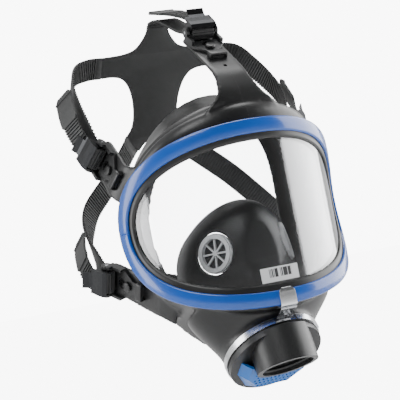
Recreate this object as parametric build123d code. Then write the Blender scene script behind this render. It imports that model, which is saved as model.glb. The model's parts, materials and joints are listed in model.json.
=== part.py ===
from build123d import *
import os
from math import atan2, copysign, cos, radians, sin, sqrt

# Full-face respirator with a wrap-round visor, a two-part clamping frame, a bottom
# connector with an Rd40 filter port and a five-strap rubber head harness.
# Millimetres. The mask looks along -Y, +X is the wearer's left and +Z is up.
# The origin is the centre of the face opening, between the eyes and the mouth.

# ---- visor and the frame round it ------------------------------------------
VISOR_RADIUS = 91.0
VISOR_AXIS_Y = 11.0
VISOR_THICKNESS = 2.6
RIM_HALF_ARC = 123.5
RIM_TOP = 65.7
RIM_BOTTOM = 72.9
RIM_POWER = 2.12
RIM_STEP = 7.5
WALL_STEP = 10
BAND_WIDTH = 10.5
FRAME_INNER = 93.1
FRAME_OUTER = 95.3
SKIRT_INNER = 88.5
LIP_WIDTH = 15.5
LIP_OUTER = 92.9
POCKET_DEPTH = 2.0
POCKET_OUTER = 91.1
POCKET_INNER = 88.3
CHANNEL_INNER = 86.8

# ---- face seal --------------------------------------------------------------
SEAL_HALF_WIDTH = 76.0
SEAL_TOP = 97.0
SEAL_BOTTOM = 108.0
SEAL_SIDE_Y = 22.0
SEAL_TOP_DIP = 34.0
SEAL_BOTTOM_DIP = 22.0
SEAL_FLAP = 20.0
RUBBER = 3.2

# ---- connector --------------------------------------------------------------
CLAMP_CENTRE = (0.0, -40.6, -106.3)
CLAMP_TILT = 54.0
NECK_START = -6.0
CLAMP_RADIUS = 38.7
CLAMP_WIDTH = 5.0
STEEL = 0.9
NECK_RADIUS = 37.8
HOUSING_RADIUS = 35.3
FLANGE_RADIUS = 37.4
FLANGE_LOW = 3.3
FLANGE_HIGH = 8.0
PORT_MOUTH = (0.0, -62.4, -120.2)
PORT_TILT = 74.0
PORT_OUTER = 24.0
PORT_BORE = 20.0
PORT_DEPTH = 13.6
GASKET_RADIUS = 18.9
GASKET_DEPTH = 2.4
PORT_LENGTH = 27.0
AIRWAY_RADIUS = 14.5
EXHALE_Y = -19.0
EXHALE_RADIUS = 6.0

# ---- buckles and straps -----------------------------------------------------
STRAP_WIDTH = 18.5
STRAP_THICKNESS = 2.2
PULL_TAB_WIDTH = 22.0
TAB_THICKNESS = 3.0
ROLLER_ALONG = 19.0
ROLLER_ABOVE = 7.0
ROLLER_RADIUS = 4.1
ROLLER_HALF = 9.6
PIN_RADIUS = 1.25
PIN_BORE = 1.32
WRAP_RADIUS = 5.5
EAR_INNER = 11.0
EAR_OUTER = 13.4
BASE_TOP = 2.4
STUD_RADIUS = 2.9
STUD_HEAD = 3.8
LOOP_ALONG = -13.0

# ---- clasp and the screws that join the frame -------------------------------
CLASP_HALF = 6.7
CLASP_GAP = 0.3
LUG_HEIGHT = 7.0
SCREW_RADIUS = 1.5
SCREW_OUT = 2.2
SCREW_DEPTH = 84.8

# ---- exhalation cover: a hollow faceted hood with rows of holes -------------
COVER_TOP = 15.0
COVER_BASE = FLANGE_HIGH + 0.1
COVER_WALL = 1.8
COVER_OUTLINE = [(30, 2), (30, -12), (19, -29.5), (-19, -29.5), (-30, -12), (-30, 2)]
EXHALE_ROOM = 3.4
HOLE_PITCH = 3.4
HOLE_RADIUS = 0.85
HOLE_FIELD = 21.0

# ---- inner mask over nose and mouth -----------------------------------------
# Stations from the face forwards: y, half width, top, bottom.
INNER_STATIONS = [
    (14, 44, 0, -82),
    (-8, 45, 8, -86),
    (-30, 39, 11, -84),
    (-46, 27, 6, -78),
    (-56, 13, -8, -66),
]
INNER_WALL = 2.5
SLEEVE_OUTER = 28.0
SLEEVE_BORE = 26.0
SEAT_POINT = Vector(30.5, -38.0, -27.0)
SEAT_OUT = Vector(0.84, -0.52, 0.16).normalized()
SEAT_RADIUS = 15.5
SEAT_BORE = 11.3

# ---- label low on the visor -------------------------------------------------
LABEL_Z = -50.5
LABEL_WIDTH = 31.0
LABEL_HEIGHT = 11.0

# ---- outlines: pairs of distance outwards from the rim and radius ------------
CHANNEL = [
    (-LIP_WIDTH, POCKET_OUTER),
    (-LIP_WIDTH, POCKET_OUTER + 0.7),
    (-LIP_WIDTH + 2, LIP_OUTER),
    (-0.9, LIP_OUTER),
    (-0.9, CHANNEL_INNER),
    (-12.0, CHANNEL_INNER),
    (-12.0, POCKET_INNER),
    (-POCKET_DEPTH, POCKET_INNER),
    (-POCKET_DEPTH, POCKET_OUTER),
]
FRAME = [
    (-BAND_WIDTH, FRAME_INNER),
    (-BAND_WIDTH, FRAME_OUTER - 0.7),
    (-BAND_WIDTH + 1.0, FRAME_OUTER),
    (-0.3, FRAME_OUTER),
    (0.8, FRAME_OUTER - 1.0),
    (0.8, SKIRT_INNER),
    (-0.6, SKIRT_INNER),
    (-0.6, FRAME_INNER),
]
LUG = [
    (-0.6, SKIRT_INNER + 0.5),
    (0.7, SKIRT_INNER + 0.5),
    (5.0, 87.0),
    (5.0, 82.0),
    (-0.6, 82.0),
]
# Half outline of the harness plate in its own plane.
HALF_PLATE = [(10, -41), (14, -29), (20, -22), (28, -19), (49, -17), (49, -0.5), (33, 0.5)]
HALF_PLATE += [(25, 11), (21.5, 22), (20, 42), (27.4, 56), (14.2, 69), (0, 54)]

# ---- where the five buckles sit: stud point, strap direction, outward direction ----
# The wearer's right side is mirrored from the left.
BUCKLES = {
    "forehead": (Vector(0, -33, 129), Vector(0, 0.79, 0.61), Vector(0, -0.61, 0.79)),
    "temple": (Vector(83, 8, 51), Vector(0.0, 0.72, 0.69), Vector(0.93, -0.30, 0.21)),
    "neck": (Vector(79.5, 24, -38.5), Vector(0.38, 0.80, 0.46), Vector(0.90, -0.36, -0.20)),
}
TAB_ROOTS = {
    "forehead": [(Vector(0, -68, 80), 50), (Vector(0, -66.5, 95), 34), (Vector(0, -58, 111), 27)],
    "temple": [(Vector(72, -14, 32), 34)],
    "neck": [(Vector(66, -10, -50), 38)],
}
# The soft straps lie differently on the two sides, so each side has its own route.
STRAP_ROUTES = {
    "forehead": [
        (Vector(0, 57, 171), Vector(0, 0.86, 0.51)),
        (Vector(0, 40, 169.5), Vector(0, -0.1, 1)),
        (Vector(0, 20, 160.5), Vector(0, -0.45, 0.9)),
        (Vector(0, 3, 152.5), Vector(0, -0.5, 0.9)),
    ],
    "temple_left": [
        (Vector(50.3, 75.2, 142), Vector(0.1, 0.86, 0.51)),
        (Vector(69.3, 73, 140.5), Vector(0.45, 0.8, 0.4)),
        (Vector(80.9, 67, 128), Vector(0.75, 0.55, 0.4)),
        (Vector(89.5, 57, 111.3), Vector(0.88, 0.35, 0.35)),
        (Vector(92.4, 45, 95.8), Vector(0.95, 0.1, 0.28)),
        (Vector(89.5, 34, 80), Vector(0.97, -0.1, 0.22)),
    ],
    "temple_right": [
        (Vector(50.3, 75.2, 142), Vector(0.1, 0.86, 0.51)),
        (Vector(64, 70, 141), Vector(0.5, 0.75, 0.45)),
        (Vector(79, 61, 136), Vector(0.8, 0.5, 0.4)),
        (Vector(88, 50, 123), Vector(0.9, 0.3, 0.35)),
        (Vector(91, 38, 105), Vector(0.97, 0.05, 0.25)),
        (Vector(90, 28.5, 86), Vector(0.97, -0.15, 0.2)),
    ],
    "neck_left": [
        (Vector(21.3, 112.2, 79.6), Vector(0.0, 0.86, 0.51)),
        (Vector(37, 101.5, 61), Vector(0.3, 0.85, 0.4)),
        (Vector(54, 91, 41), Vector(0.55, 0.8, 0.25)),
        (Vector(69, 81.5, 20), Vector(0.75, 0.65, 0.1)),
        (Vector(82, 70, -1), Vector(0.87, 0.45, 0.0)),
        (Vector(90, 55, -18), Vector(0.92, 0.1, -0.1)),
    ],
    "neck_right": [
        (Vector(21.3, 112.2, 79.6), Vector(0.0, 0.86, 0.51)),
        (Vector(38, 102, 63), Vector(0.12, 0.89, 0.42)),
        (Vector(57.2, 93, 45.7), Vector(0.25, 0.93, 0.27)),
        (Vector(77, 85, 27.8), Vector(0.32, 0.93, 0.2)),
        (Vector(86.5, 76, 12.7), Vector(0.6, 0.8, 0.1)),
        (Vector(91, 66, 1.3), Vector(0.85, 0.5, 0.0)),
        (Vector(91.3, 55, -12), Vector(0.95, 0.1, -0.15)),
    ],
}
TAIL_ROUTES = {
    "forehead": [Vector(0, 0, 164.5), Vector(0, 18, 170), Vector(0, 34, 174.5), Vector(0, 50, 178.5)],
    "temple_left": [Vector(98.6, 33.5, 83.5), Vector(98.6, 40.5, 93), Vector(97.4, 48, 105)],
    "temple_right": [Vector(99, 31.5, 89), Vector(99.5, 38, 104), Vector(97, 46, 120)],
    "neck_left": [Vector(104.5, 52, -15), Vector(102, 60.5, -4.5), Vector(97.5, 68.5, 6)],
    "neck_right": [Vector(104.5, 52, -15), Vector(102, 60.5, -4.5), Vector(97.5, 68.5, 6)],
}


def signed_power(value, power):
    return copysign(abs(value) ** power, value)


def rim_point(angle, outward, radius):
    """Point round the visor's rim: angle 0 is the wearer's left and 90 the top."""
    across = cos(radians(angle)) if abs(cos(radians(angle))) > 1e-9 else 0.0
    up = sin(radians(angle)) if abs(sin(radians(angle))) > 1e-9 else 0.0
    height = RIM_TOP if up >= 0 else RIM_BOTTOM
    arc = RIM_HALF_ARC * signed_power(across, 2 / RIM_POWER)
    rise = height * signed_power(up, 2 / RIM_POWER)
    slope_arc = signed_power(arc / RIM_HALF_ARC, RIM_POWER - 1) / RIM_HALF_ARC
    slope_rise = signed_power(rise / height, RIM_POWER - 1) / height
    length = sqrt(slope_arc**2 + slope_rise**2)
    arc += outward * slope_arc / length
    rise += outward * slope_rise / length
    turn = arc / VISOR_RADIUS
    return Vector(radius * sin(turn), VISOR_AXIS_Y - radius * cos(turn), rise)


def rim_loft(profile, first, last):
    """Solid with one (outward, radius) profile carried along the rim."""
    stations = [first + RIM_STEP * i for i in range(round((last - first) / RIM_STEP) + 1)]
    wires = [
        Wire.make_polygon([rim_point(a, out, rad) for out, rad in profile], close=True)
        for a in stations
    ]
    return Solid.make_loft(wires)


def ring_both_sides(profile):
    """Closed ring round the rim, from two mirrored halves that meet on x = 0."""
    half = rim_loft(profile, -90, 90)
    return half + mirror(half, Plane.YZ)


def seal_point(heading, inset, ahead):
    """Point on the face seal: heading 0 is up, 90 the wearer's left."""
    s, c = sin(heading), cos(heading)
    tall = SEAL_TOP if c >= 0 else SEAL_BOTTOM
    dip = SEAL_TOP_DIP if c >= 0 else SEAL_BOTTOM_DIP
    reach = 1 / sqrt((s / SEAL_HALF_WIDTH) ** 2 + (c / tall) ** 2) - inset
    return Vector(reach * s, SEAL_SIDE_Y - dip * c**2 - ahead, reach * c)


def wall_section(angle):
    """Closed outline of the rubber wall, from the visor channel to the seal flap."""
    up = max(sin(radians(angle)), 0.0)
    start = rim_point(angle, -4.0, 87.4)
    heading = atan2(start.X, start.Z)
    crest_out = -7.0 + 21.0 * up + 9.0 * max(-sin(radians(angle)), 0.0)
    crest_radius = 83.0 - 2.0 * up
    return Wire.make_polygon(
        [
            start,
            rim_point(angle, crest_out, crest_radius),
            seal_point(heading, 0.0, 0.0),
            seal_point(heading, SEAL_FLAP, 4.0),
            seal_point(heading, SEAL_FLAP, 6.2),
            seal_point(heading, RUBBER, RUBBER),
            rim_point(angle, crest_out - RUBBER, crest_radius - RUBBER),
            rim_point(angle, -9.0, 87.2),
        ],
        close=True,
    )


def disc(frame, radius, low, high, x=0.0, y=0.0):
    return frame * Pos(x, y, (low + high) / 2) * Cylinder(radius, high - low)


def tube(frame, outer, inner, low, high, x=0.0, y=0.0):
    return disc(frame, outer, low, high, x, y) - disc(frame, inner, low - 1, high + 1, x, y)


def prism(frame, outline, low, high):
    """Straight extrusion of a flat outline between two heights of a frame."""
    face = make_face(Polyline(*outline, close=True))
    return frame * Pos(0, 0, low) * extrude(face, high - low)


def tilted_frame(centre, tilt):
    """Frame whose Z leaves the mask, tilt degrees below straight ahead."""
    out = Vector(0, -cos(radians(tilt)), -sin(radians(tilt)))
    return Plane(origin=centre, x_dir=(1, 0, 0), z_dir=out).location


def ribbon(stations, thickness):
    """Flat strap through stations of (centre, across direction, width)."""
    wires = []
    for i, (centre, across, width) in enumerate(stations):
        before = stations[max(i - 1, 0)][0]
        after = stations[min(i + 1, len(stations) - 1)][0]
        along = (after - before).normalized()
        side = (across - along * across.dot(along)).normalized()
        face_out = side.cross(along)
        half_w = side * (width / 2)
        half_t = face_out * (thickness / 2)
        corners = [centre + half_w + half_t, centre + half_w - half_t]
        corners += [centre - half_w - half_t, centre - half_w + half_t]
        wires.append(Wire.make_polygon(corners, close=True))
    return Solid.make_loft(wires, ruled=True)


def mirrored(shape):
    return mirror(shape, Plane.YZ)


parts = {}
connector = tilted_frame(CLAMP_CENTRE, CLAMP_TILT)
port = tilted_frame(PORT_MOUTH, PORT_TILT)

def buckle_frame(name):
    stud, along, outward = BUCKLES[name]
    along = along.normalized()
    outward = (outward - along * outward.dot(along)).normalized()
    return Plane(origin=stud, x_dir=along, z_dir=outward)


def tab_solid(name):
    """Moulded rubber tab with its stud and the loop for the buckle's narrow end."""
    plane = buckle_frame(name)
    along, outward = plane.x_dir, plane.z_dir
    centre = plane.origin - outward * (TAB_THICKNESS / 2)
    stations = [(point, plane.y_dir, width) for point, width in TAB_ROOTS[name]]
    for distance, width in ((-18, 30), (0, 28), (10, 28), (16, 27)):
        stations.append((centre + along * distance, plane.y_dir, width))
    solid = ribbon(stations, TAB_THICKNESS)
    stud = disc(plane.location, STUD_RADIUS, -1, 4.4)
    stud += disc(plane.location, STUD_HEAD, 2.9, 4.6)
    loop = plane.location * Pos(LOOP_ALONG, 0, 2.0) * Box(6, 15, 6)
    loop -= plane.location * Pos(LOOP_ALONG, 0, 1.4) * Box(8, 10.8, 2.8)
    return solid + stud + loop


def buckle_parts(name):
    """Base plate, pin, roller and lever of one buckle."""
    frame = buckle_frame(name).location
    pin_line = frame * Pos(ROLLER_ALONG, 0, ROLLER_ABOVE) * Rot(90, 0, 0)
    outline = [(-15.5, -5), (-5, -5.6), (5, -EAR_OUTER), (11.5, -EAR_OUTER)]
    outline += [(x, -y) for x, y in reversed(outline)]
    base = prism(frame, outline, 0.15, BASE_TOP)
    base -= disc(frame, 3.0, -1, 4)
    base -= disc(frame, 4.1, -1, 4, x=6.0)
    base -= frame * Pos(3, 0, 1.5) * Box(6, 5.2, 5)
    for side in (-1, 1):
        middle = side * (EAR_INNER + EAR_OUTER) / 2
        ear = frame * Pos(12.0, middle, 3.0) * Box(14, EAR_OUTER - EAR_INNER, 5.7)
        ear += pin_line * Pos(0, 0, -middle) * Cylinder(4.2, EAR_OUTER - EAR_INNER)
        base += ear
    base -= pin_line * Cylinder(PIN_RADIUS, 40)
    pin = pin_line * Cylinder(PIN_RADIUS, 2 * EAR_OUTER + 0.4)
    roller = pin_line * (Cylinder(ROLLER_RADIUS, 2 * ROLLER_HALF) - Cylinder(PIN_BORE, 30))
    side_view = frame * Pos(ROLLER_ALONG, 0, ROLLER_ABOVE) * Rot(90, 0, 0)
    arm = [(-2.4, -2.0), (2.4, -2.0), (5.0, 8.6), (-3.6, 8.1), (-6.0, 5.9)]
    plate = [(-6.0, 5.9), (-3.2, 7.6), (1.0, 8.1), (7.0, 8.2), (10.6, 9.2), (14.4, 12.6)]
    plate += [(13.7, 13.1), (10.0, 9.9), (6.8, 9.0), (0.9, 8.9), (-3.6, 8.4), (-6.6, 6.5)]
    lever = prism(side_view, plate, -10.7, 10.7)
    for side in (-1, 1):
        low = 9.9 if side > 0 else -10.7
        lever += prism(side_view, arm, low, low + 0.8)
    lever -= side_view * Cylinder(PIN_BORE, 40)
    tongue_cut = side_view * Pos(12.5, 11.5, 0) * Box(9, 9, 30)
    tongue_cut -= side_view * Pos(12.5, 11.5, 0) * Box(10, 10, 14)
    return {"buckle": base, "pin": pin, "roller": roller, "lever": lever - tongue_cut}


def smooth_stations(points, directions, widths, count):
    """Evenly spaced stations on a spline, with directions and widths in between."""
    curve = Spline(*points)
    stations = []
    for i in range(count + 1):
        place = i / count * (len(points) - 1)
        low = min(int(place), len(points) - 2)
        share = place - low
        direction = directions[low] * (1 - share) + directions[low + 1] * share
        width = widths[low] * (1 - share) + widths[low + 1] * share
        stations.append((curve @ (i / count), direction, width))
    return stations


def strap_solid(name, suffix):
    """Strap from the plate, round its roller and back to the pull tab."""
    plane = buckle_frame(name)
    route = STRAP_ROUTES[name + suffix]
    along, outward = plane.x_dir, plane.z_dir
    across = outward.cross(along)
    axle = plane.origin + along * ROLLER_ALONG + outward * ROLLER_ABOVE
    points = [point for point, _ in route]
    points.append(axle + along * 9 - outward * WRAP_RADIUS)
    directions = []
    for i, (_, out) in enumerate(route):
        heading = (points[i + 1] - points[max(i - 1, 0)]).normalized()
        directions.append(heading.cross(out))
    directions.append(across)
    stations = smooth_stations(points, directions, [STRAP_WIDTH] * len(points), 14)
    for angle in range(-90, -271, -30):
        spoke = along * cos(radians(angle)) + outward * sin(radians(angle))
        stations.append((axle + spoke * WRAP_RADIUS, across, STRAP_WIDTH))
    tail = [axle + along * 6 + outward * WRAP_RADIUS, axle + along * 12 + outward * 6.2]
    tail += TAIL_ROUTES[name + suffix]
    widths = [STRAP_WIDTH] * (len(tail) - 2) + [PULL_TAB_WIDTH] * 2
    stations += smooth_stations(tail, [across] * len(tail), widths, 8)
    return ribbon(stations, STRAP_THICKNESS)


# ---- facepiece --------------------------------------------------------------
channel = ring_both_sides(CHANNEL)
wall_half = Solid.make_loft([wall_section(a) for a in range(-90, 91, WALL_STEP)])
wall = wall_half + mirrored(wall_half)


def chin_cone(inset):
    """Loft from an oval across the chin to the connector's round neck."""
    oval_plane = Plane(origin=(0, -33, -70), x_dir=(1, 0, 0), z_dir=(0, -0.35, -0.94))
    oval = oval_plane * Ellipse(60 - inset, 41 - inset)
    neck_plane = Plane(connector * Pos(0, 0, NECK_START))
    neck = neck_plane * Circle(NECK_RADIUS - inset)
    return Solid.make_loft([oval.wire(), neck.wire()])


cone = chin_cone(0.0) + disc(connector, NECK_RADIUS, NECK_START, 3.1)
hollow = chin_cone(RUBBER) + disc(connector, HOUSING_RADIUS, -9, 10)
facepiece = wall + cone + channel - hollow
for name in BUCKLES:
    facepiece += tab_solid(name)
    if name != "forehead":
        facepiece += mirrored(tab_solid(name))
parts["facepiece"] = facepiece

# ---- visor and frame --------------------------------------------------------
shell = Pos(0, VISOR_AXIS_Y, -4) * (
    Cylinder(VISOR_RADIUS - 0.1, 150) - Cylinder(VISOR_RADIUS - VISOR_THICKNESS, 160)
)
shell &= Pos(0, -150, 0) * Box(400, 290, 400)
outside = ring_both_sides([(-2.6, 84), (48, 84), (48, 96), (-2.6, 96)])
parts["visor"] = (shell - outside).solids().sort_by(SortBy.VOLUME)[-1]
parts["facepiece"] -= parts["visor"]

def lug(low, high):
    """Block behind the end of a frame half that carries the joining screw."""
    outline = Wire.make_polygon([rim_point(0, out, rad) for out, rad in LUG], close=True)
    block = Pos(0, 0, low) * extrude(Face(outline), high - low, dir=(0, 0, 1))
    centre = rim_point(0, SCREW_OUT, SCREW_DEPTH)
    return block - Pos(centre.X, centre.Y, 0) * Cylinder(SCREW_RADIUS, 40)


frame_upper = rim_loft(FRAME, 0, 180)
frame_lower = rim_loft(FRAME, -180, 0)
for flip in (False, True):
    top_lug = lug(0, LUG_HEIGHT)
    low_lug = lug(-LUG_HEIGHT, 0)
    frame_upper += mirrored(top_lug) if flip else top_lug
    frame_lower += mirrored(low_lug) if flip else low_lug
parts["frame_upper"] = frame_upper
parts["frame_lower"] = frame_lower
screw_line = rim_point(0, SCREW_OUT, SCREW_DEPTH)
screw = Pos(screw_line.X, screw_line.Y, 0) * Cylinder(SCREW_RADIUS, 2 * LUG_HEIGHT)
screw += Pos(screw_line.X, screw_line.Y, LUG_HEIGHT + 1) * Cylinder(2.6, 2)
screw -= Pos(screw_line.X, screw_line.Y, LUG_HEIGHT + 1.6) * Box(0.7, 6, 0.9)
parts["frame_screws"] = Compound(children=[screw, mirrored(screw)])

# ---- clasp and its bracket ---------------------------------------------------
side_on = Plane(origin=(-CLASP_HALF, 0, 0), x_dir=(0, 1, 0), z_dir=(1, 0, 0)).location
front_y = VISOR_AXIS_Y - FRAME_OUTER - CLASP_GAP
clasp_top = -RIM_BOTTOM + BAND_WIDTH + 1.6
clasp_low = -RIM_BOTTOM - 1.1
clasp_outline = [
    (front_y - STEEL, clasp_top - 0.6),
    (front_y, clasp_top),
    (front_y + 2.2, clasp_top),
    (front_y + 2.2, clasp_top - STEEL),
    (front_y, clasp_top - STEEL),
    (front_y, clasp_low),
    (front_y + 8, clasp_low),
    (front_y + 8, clasp_low - STEEL),
    (front_y - STEEL, clasp_low - STEEL),
]
parts["frame_clasp"] = prism(side_on, clasp_outline, 0, 2 * CLASP_HALF)
band_top = connector * Pos(0, CLAMP_RADIUS, 0)
band_point = band_top.position
bracket_outline = [
    (front_y + 1.0, clasp_low - STEEL - 0.1),
    (front_y + 8, clasp_low - STEEL - 0.1),
    (front_y + 8, clasp_low - 2 * STEEL - 0.1),
    (front_y + 2.4, clasp_low - 2 * STEEL - 0.1),
    (band_point.Y + 0.8, band_point.Z + 0.9),
    (band_point.Y - 0.2, band_point.Z + 0.2),
]
bracket = prism(side_on, bracket_outline, 0, 2 * CLASP_HALF)
bracket_foot = Vector(0, front_y + 1.7, clasp_low - 1.9)
tangent = (Vector(0, band_point.Y, band_point.Z) - bracket_foot).normalized()
middle = Vector(0, (band_point.Y + front_y + 1.7) / 2 + 0.4, (band_point.Z + clasp_low - 1.9) / 2)
screw_frame = Plane(origin=middle, x_dir=(1, 0, 0), z_dir=tangent.cross(Vector(1, 0, 0))).location
if (screw_frame * Pos(0, 0, 1)).position.Y > middle.Y:
    screw_frame = screw_frame * Rot(180, 0, 0)
bracket -= disc(screw_frame, 1.6, -5, 5)
parts["clasp_bracket"] = bracket
clasp_screw = disc(screw_frame, 1.6, -4, 1.2) + disc(screw_frame, 2.7, 1.2, 2.8)
clasp_screw -= disc(screw_frame, 1.3, 1.8, 4)
parts["clasp_screw"] = clasp_screw
facepiece_relief = disc(screw_frame, 2.4, -6, -0.9)
parts["facepiece"] -= facepiece_relief

band = tube(connector, CLAMP_RADIUS, CLAMP_RADIUS - STEEL, -CLAMP_WIDTH / 2, CLAMP_WIDTH / 2)
overlap = tube(connector, CLAMP_RADIUS + STEEL, CLAMP_RADIUS, -CLAMP_WIDTH / 2, CLAMP_WIDTH / 2)
overlap &= connector * Pos(22, 30, 0) * Box(24, 24, 10)
parts["housing_clamp"] = band + overlap - bracket

# ---- connector housing --------------------------------------------------------
housing = disc(connector, HOUSING_RADIUS, -9, FLANGE_HIGH) + disc(
    connector, FLANGE_RADIUS, FLANGE_LOW, FLANGE_HIGH
)
port_body = disc(port, PORT_OUTER, -PORT_LENGTH, 0)
above_plate = connector * Pos(0, 0, 45 + FLANGE_HIGH - 3) * Box(140, 140, 90)
housing -= disc(connector, HOUSING_RADIUS - 2.5, -12, FLANGE_HIGH - 2.5)
port_base = port_body & (connector * Pos(0, 0, -5) * Cylinder(HOUSING_RADIUS - 1, 26))
housing += (port_body & above_plate) + port_base
housing -= disc(port, PORT_BORE, -PORT_DEPTH, 1)
housing -= disc(port, GASKET_RADIUS, -PORT_DEPTH - GASKET_DEPTH, 0)
housing -= disc(port, AIRWAY_RADIUS, -60, 0)
exhale = connector * Pos(0, EXHALE_Y, 0)
housing -= disc(exhale, EXHALE_RADIUS, -20, 20) - disc(port, PORT_OUTER - 1.0, -40, 2)
parts["connector_housing"] = housing.solids().sort_by(SortBy.VOLUME)[-1]

shelf = -PORT_DEPTH - GASKET_DEPTH
parts["port_gasket"] = tube(port, GASKET_RADIUS, AIRWAY_RADIUS + 0.5, shelf, -PORT_DEPTH)
grid_low = shelf - 6.0
grid = tube(port, AIRWAY_RADIUS, AIRWAY_RADIUS - 1.8, grid_low, grid_low + 2.2)
for turn in range(4):
    grid += port * Pos(0, 0, grid_low + 1.1) * Rot(0, 0, 45 * turn) * Box(26, 1.4, 2.2)
grid += disc(port, 2.6, grid_low, grid_low + 2.2)
grid += disc(port, 1.3, grid_low - 4.6, grid_low) + disc(port, 2.2, grid_low - 5.2, grid_low - 4.2)
parts["inlet_grid"] = grid
parts["inlet_valve_disc"] = tube(port, 12.6, 1.36, grid_low - 1.5, grid_low - 0.5)

seat = tube(exhale, EXHALE_RADIUS, EXHALE_RADIUS - 1.4, FLANGE_HIGH - 2.5, FLANGE_HIGH)
for turn in range(2):
    seat += exhale * Pos(0, 0, FLANGE_HIGH - 1.0) * Rot(0, 0, 90 * turn) * Box(2 * EXHALE_RADIUS - 2, 1.2, 2)
seat += disc(exhale, 1.0, FLANGE_HIGH - 2, FLANGE_HIGH + 3.2)
seat += disc(exhale, 1.8, FLANGE_HIGH + 3.0, FLANGE_HIGH + 3.8)
seat -= disc(port, PORT_OUTER + 0.1, -40, 2)
parts["exhalation_seat"] = seat.solids().sort_by(SortBy.VOLUME)[-1]
flap = tube(exhale, EXHALE_RADIUS + 0.4, 1.06, FLANGE_HIGH + 0.1, FLANGE_HIGH + 0.9)
parts["exhalation_disc"] = flap - disc(port, PORT_OUTER + 0.4, -40, 2)

# ---- exhalation cover --------------------------------------------------------
def cover_solid(inset, low, high):
    """Faceted hood: a wide outline at the flange, a smaller one at the front."""
    lower = [(x - copysign(inset, x), y + (inset if y < -20 else 0)) for x, y in COVER_OUTLINE]
    upper = [(x - copysign(6 + inset, x), y + (5 + inset if y < -20 else 0)) for x, y in COVER_OUTLINE]
    wires = [
        connector * Pos(0, 0, low) * Wire.make_polygon([Vector(*p) for p in lower], close=True),
        connector * Pos(0, 0, high) * Wire.make_polygon([Vector(*p) for p in upper], close=True),
    ]
    return Solid.make_loft(wires, ruled=True)


cover = cover_solid(0.0, COVER_BASE, COVER_TOP)
cover -= cover_solid(COVER_WALL, COVER_BASE - 0.1, COVER_TOP - COVER_WALL)
cover -= disc(exhale, EXHALE_RADIUS + 1.0, COVER_BASE - 0.1, FLANGE_HIGH + EXHALE_ROOM)
cover -= disc(port, PORT_OUTER + 0.5, -40, 3)
holes = []
for row in range(6):
    for column in range(-5, 6):
        x = (column + (row % 2) / 2) * HOLE_PITCH
        y = -22.5 + row * HOLE_PITCH
        if abs(x) < HOLE_FIELD:
            holes.append(disc(connector, HOLE_RADIUS, COVER_TOP - 4, COVER_TOP + 1, x, y))
cover -= holes
parts["exhalation_cover"] = cover.solids().sort_by(SortBy.VOLUME)[-1]

# ---- inner mask over nose and mouth --------------------------------------------
def inner_form(inset):
    wires = []
    for y, half, top, bottom in INNER_STATIONS:
        ahead = inset if y < -50 else 0.0
        plane = Plane(origin=(0, y + ahead, (top + bottom) / 2), x_dir=(1, 0, 0), z_dir=(0, -1, 0))
        wires.append((plane * Ellipse(half - inset, (top - bottom) / 2 - inset)).wire())
    return Solid.make_loft(wires)


inner_back = INNER_STATIONS[0][0]
inner_hollow = inner_form(INNER_WALL)
sleeve = disc(connector, SLEEVE_OUTER, -25, -10)
inner = inner_form(0.0) + sleeve - inner_hollow - disc(connector, SLEEVE_BORE, -60, -5)
inner &= Pos(0, inner_back - 100, 0) * Box(300, 200, 400)
seat_frame = Plane(origin=SEAT_POINT, x_dir=(0, 0, 1), z_dir=SEAT_OUT).location
boss = disc(seat_frame, SEAT_RADIUS + 1.0, -9, -0.2) - inner_hollow
inner += boss + mirrored(boss)
seat_cut = disc(seat_frame, SEAT_RADIUS + 0.1, -2.4, 6) + disc(seat_frame, 13.0, -30, 6)
inner = inner - seat_cut - mirrored(seat_cut)
inner -= parts["facepiece"]
parts["inner_mask"] = inner.solids().sort_by(SortBy.VOLUME)[-1]
valve = tube(seat_frame, SEAT_RADIUS, SEAT_BORE, -2.3, 1.6) - (
    disc(seat_frame, 20, 0.2, 4) - disc(seat_frame, 14.6, 0.1, 4)
)
for turn in range(4):
    valve += seat_frame * Pos(0, 0, -1.1) * Rot(0, 0, 45 * turn) * Box(23.5, 1.2, 1.8)
valve += disc(seat_frame, 1.9, -2.2, 0.1) + disc(seat_frame, 0.9, -6.0, -2.0)
valve += disc(seat_frame, 1.6, -6.6, -5.8)
valve_disc = tube(seat_frame, 12.2, 0.96, -3.4, -2.6)
parts["inner_seat_left"] = valve
parts["inner_seat_right"] = mirrored(valve)
parts["inner_disc_left"] = valve_disc
parts["inner_disc_right"] = mirrored(valve_disc)

# ---- label -------------------------------------------------------------------
label = Pos(0, VISOR_AXIS_Y, LABEL_Z) * (
    Cylinder(VISOR_RADIUS + 0.15, LABEL_HEIGHT) - Cylinder(VISOR_RADIUS - 0.1, LABEL_HEIGHT + 1)
)
parts["visor_label"] = label & (Pos(0, -80, LABEL_Z) * Box(LABEL_WIDTH, 20, 20))

# ---- harness ----------------------------------------------------------------------
plate_frame = Plane(origin=(0, 80, 134), x_dir=(1, 0, 0), z_dir=(0, 0.86, 0.51)).location
plate_outline = HALF_PLATE + [(-x, y) for x, y in reversed(HALF_PLATE[:-1])]
parts["harness_plate"] = prism(plate_frame, plate_outline, -STRAP_THICKNESS / 2, STRAP_THICKNESS / 2)

for name in BUCKLES:
    sides = [("", False)] if name == "forehead" else [("_left", False), ("_right", True)]
    pieces = buckle_parts(name)
    for suffix, flip in sides:
        strap = strap_solid(name, suffix)
        parts[f"{name}_strap{suffix}"] = mirrored(strap) if flip else strap
        for piece, solid in pieces.items():
            parts[f"{name}_{piece}{suffix}"] = mirrored(solid) if flip else solid

os.makedirs("parts", exist_ok=True)
for node, shape in parts.items():
    export_step(shape, f"parts/{node}.step")
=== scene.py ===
"""Looks of a full-face respirator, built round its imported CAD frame.

Shapes are written in millimetres and turned into metres where a mesh is made. The mask looks
along -Y, +X is the wearer's left and +Z is up.
"""

import json
import logging
from collections.abc import Sequence
from dataclasses import dataclass, field
from enum import Enum
from math import atan2, copysign, cos, pi, radians, sin, sqrt
from typing import Any

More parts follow.
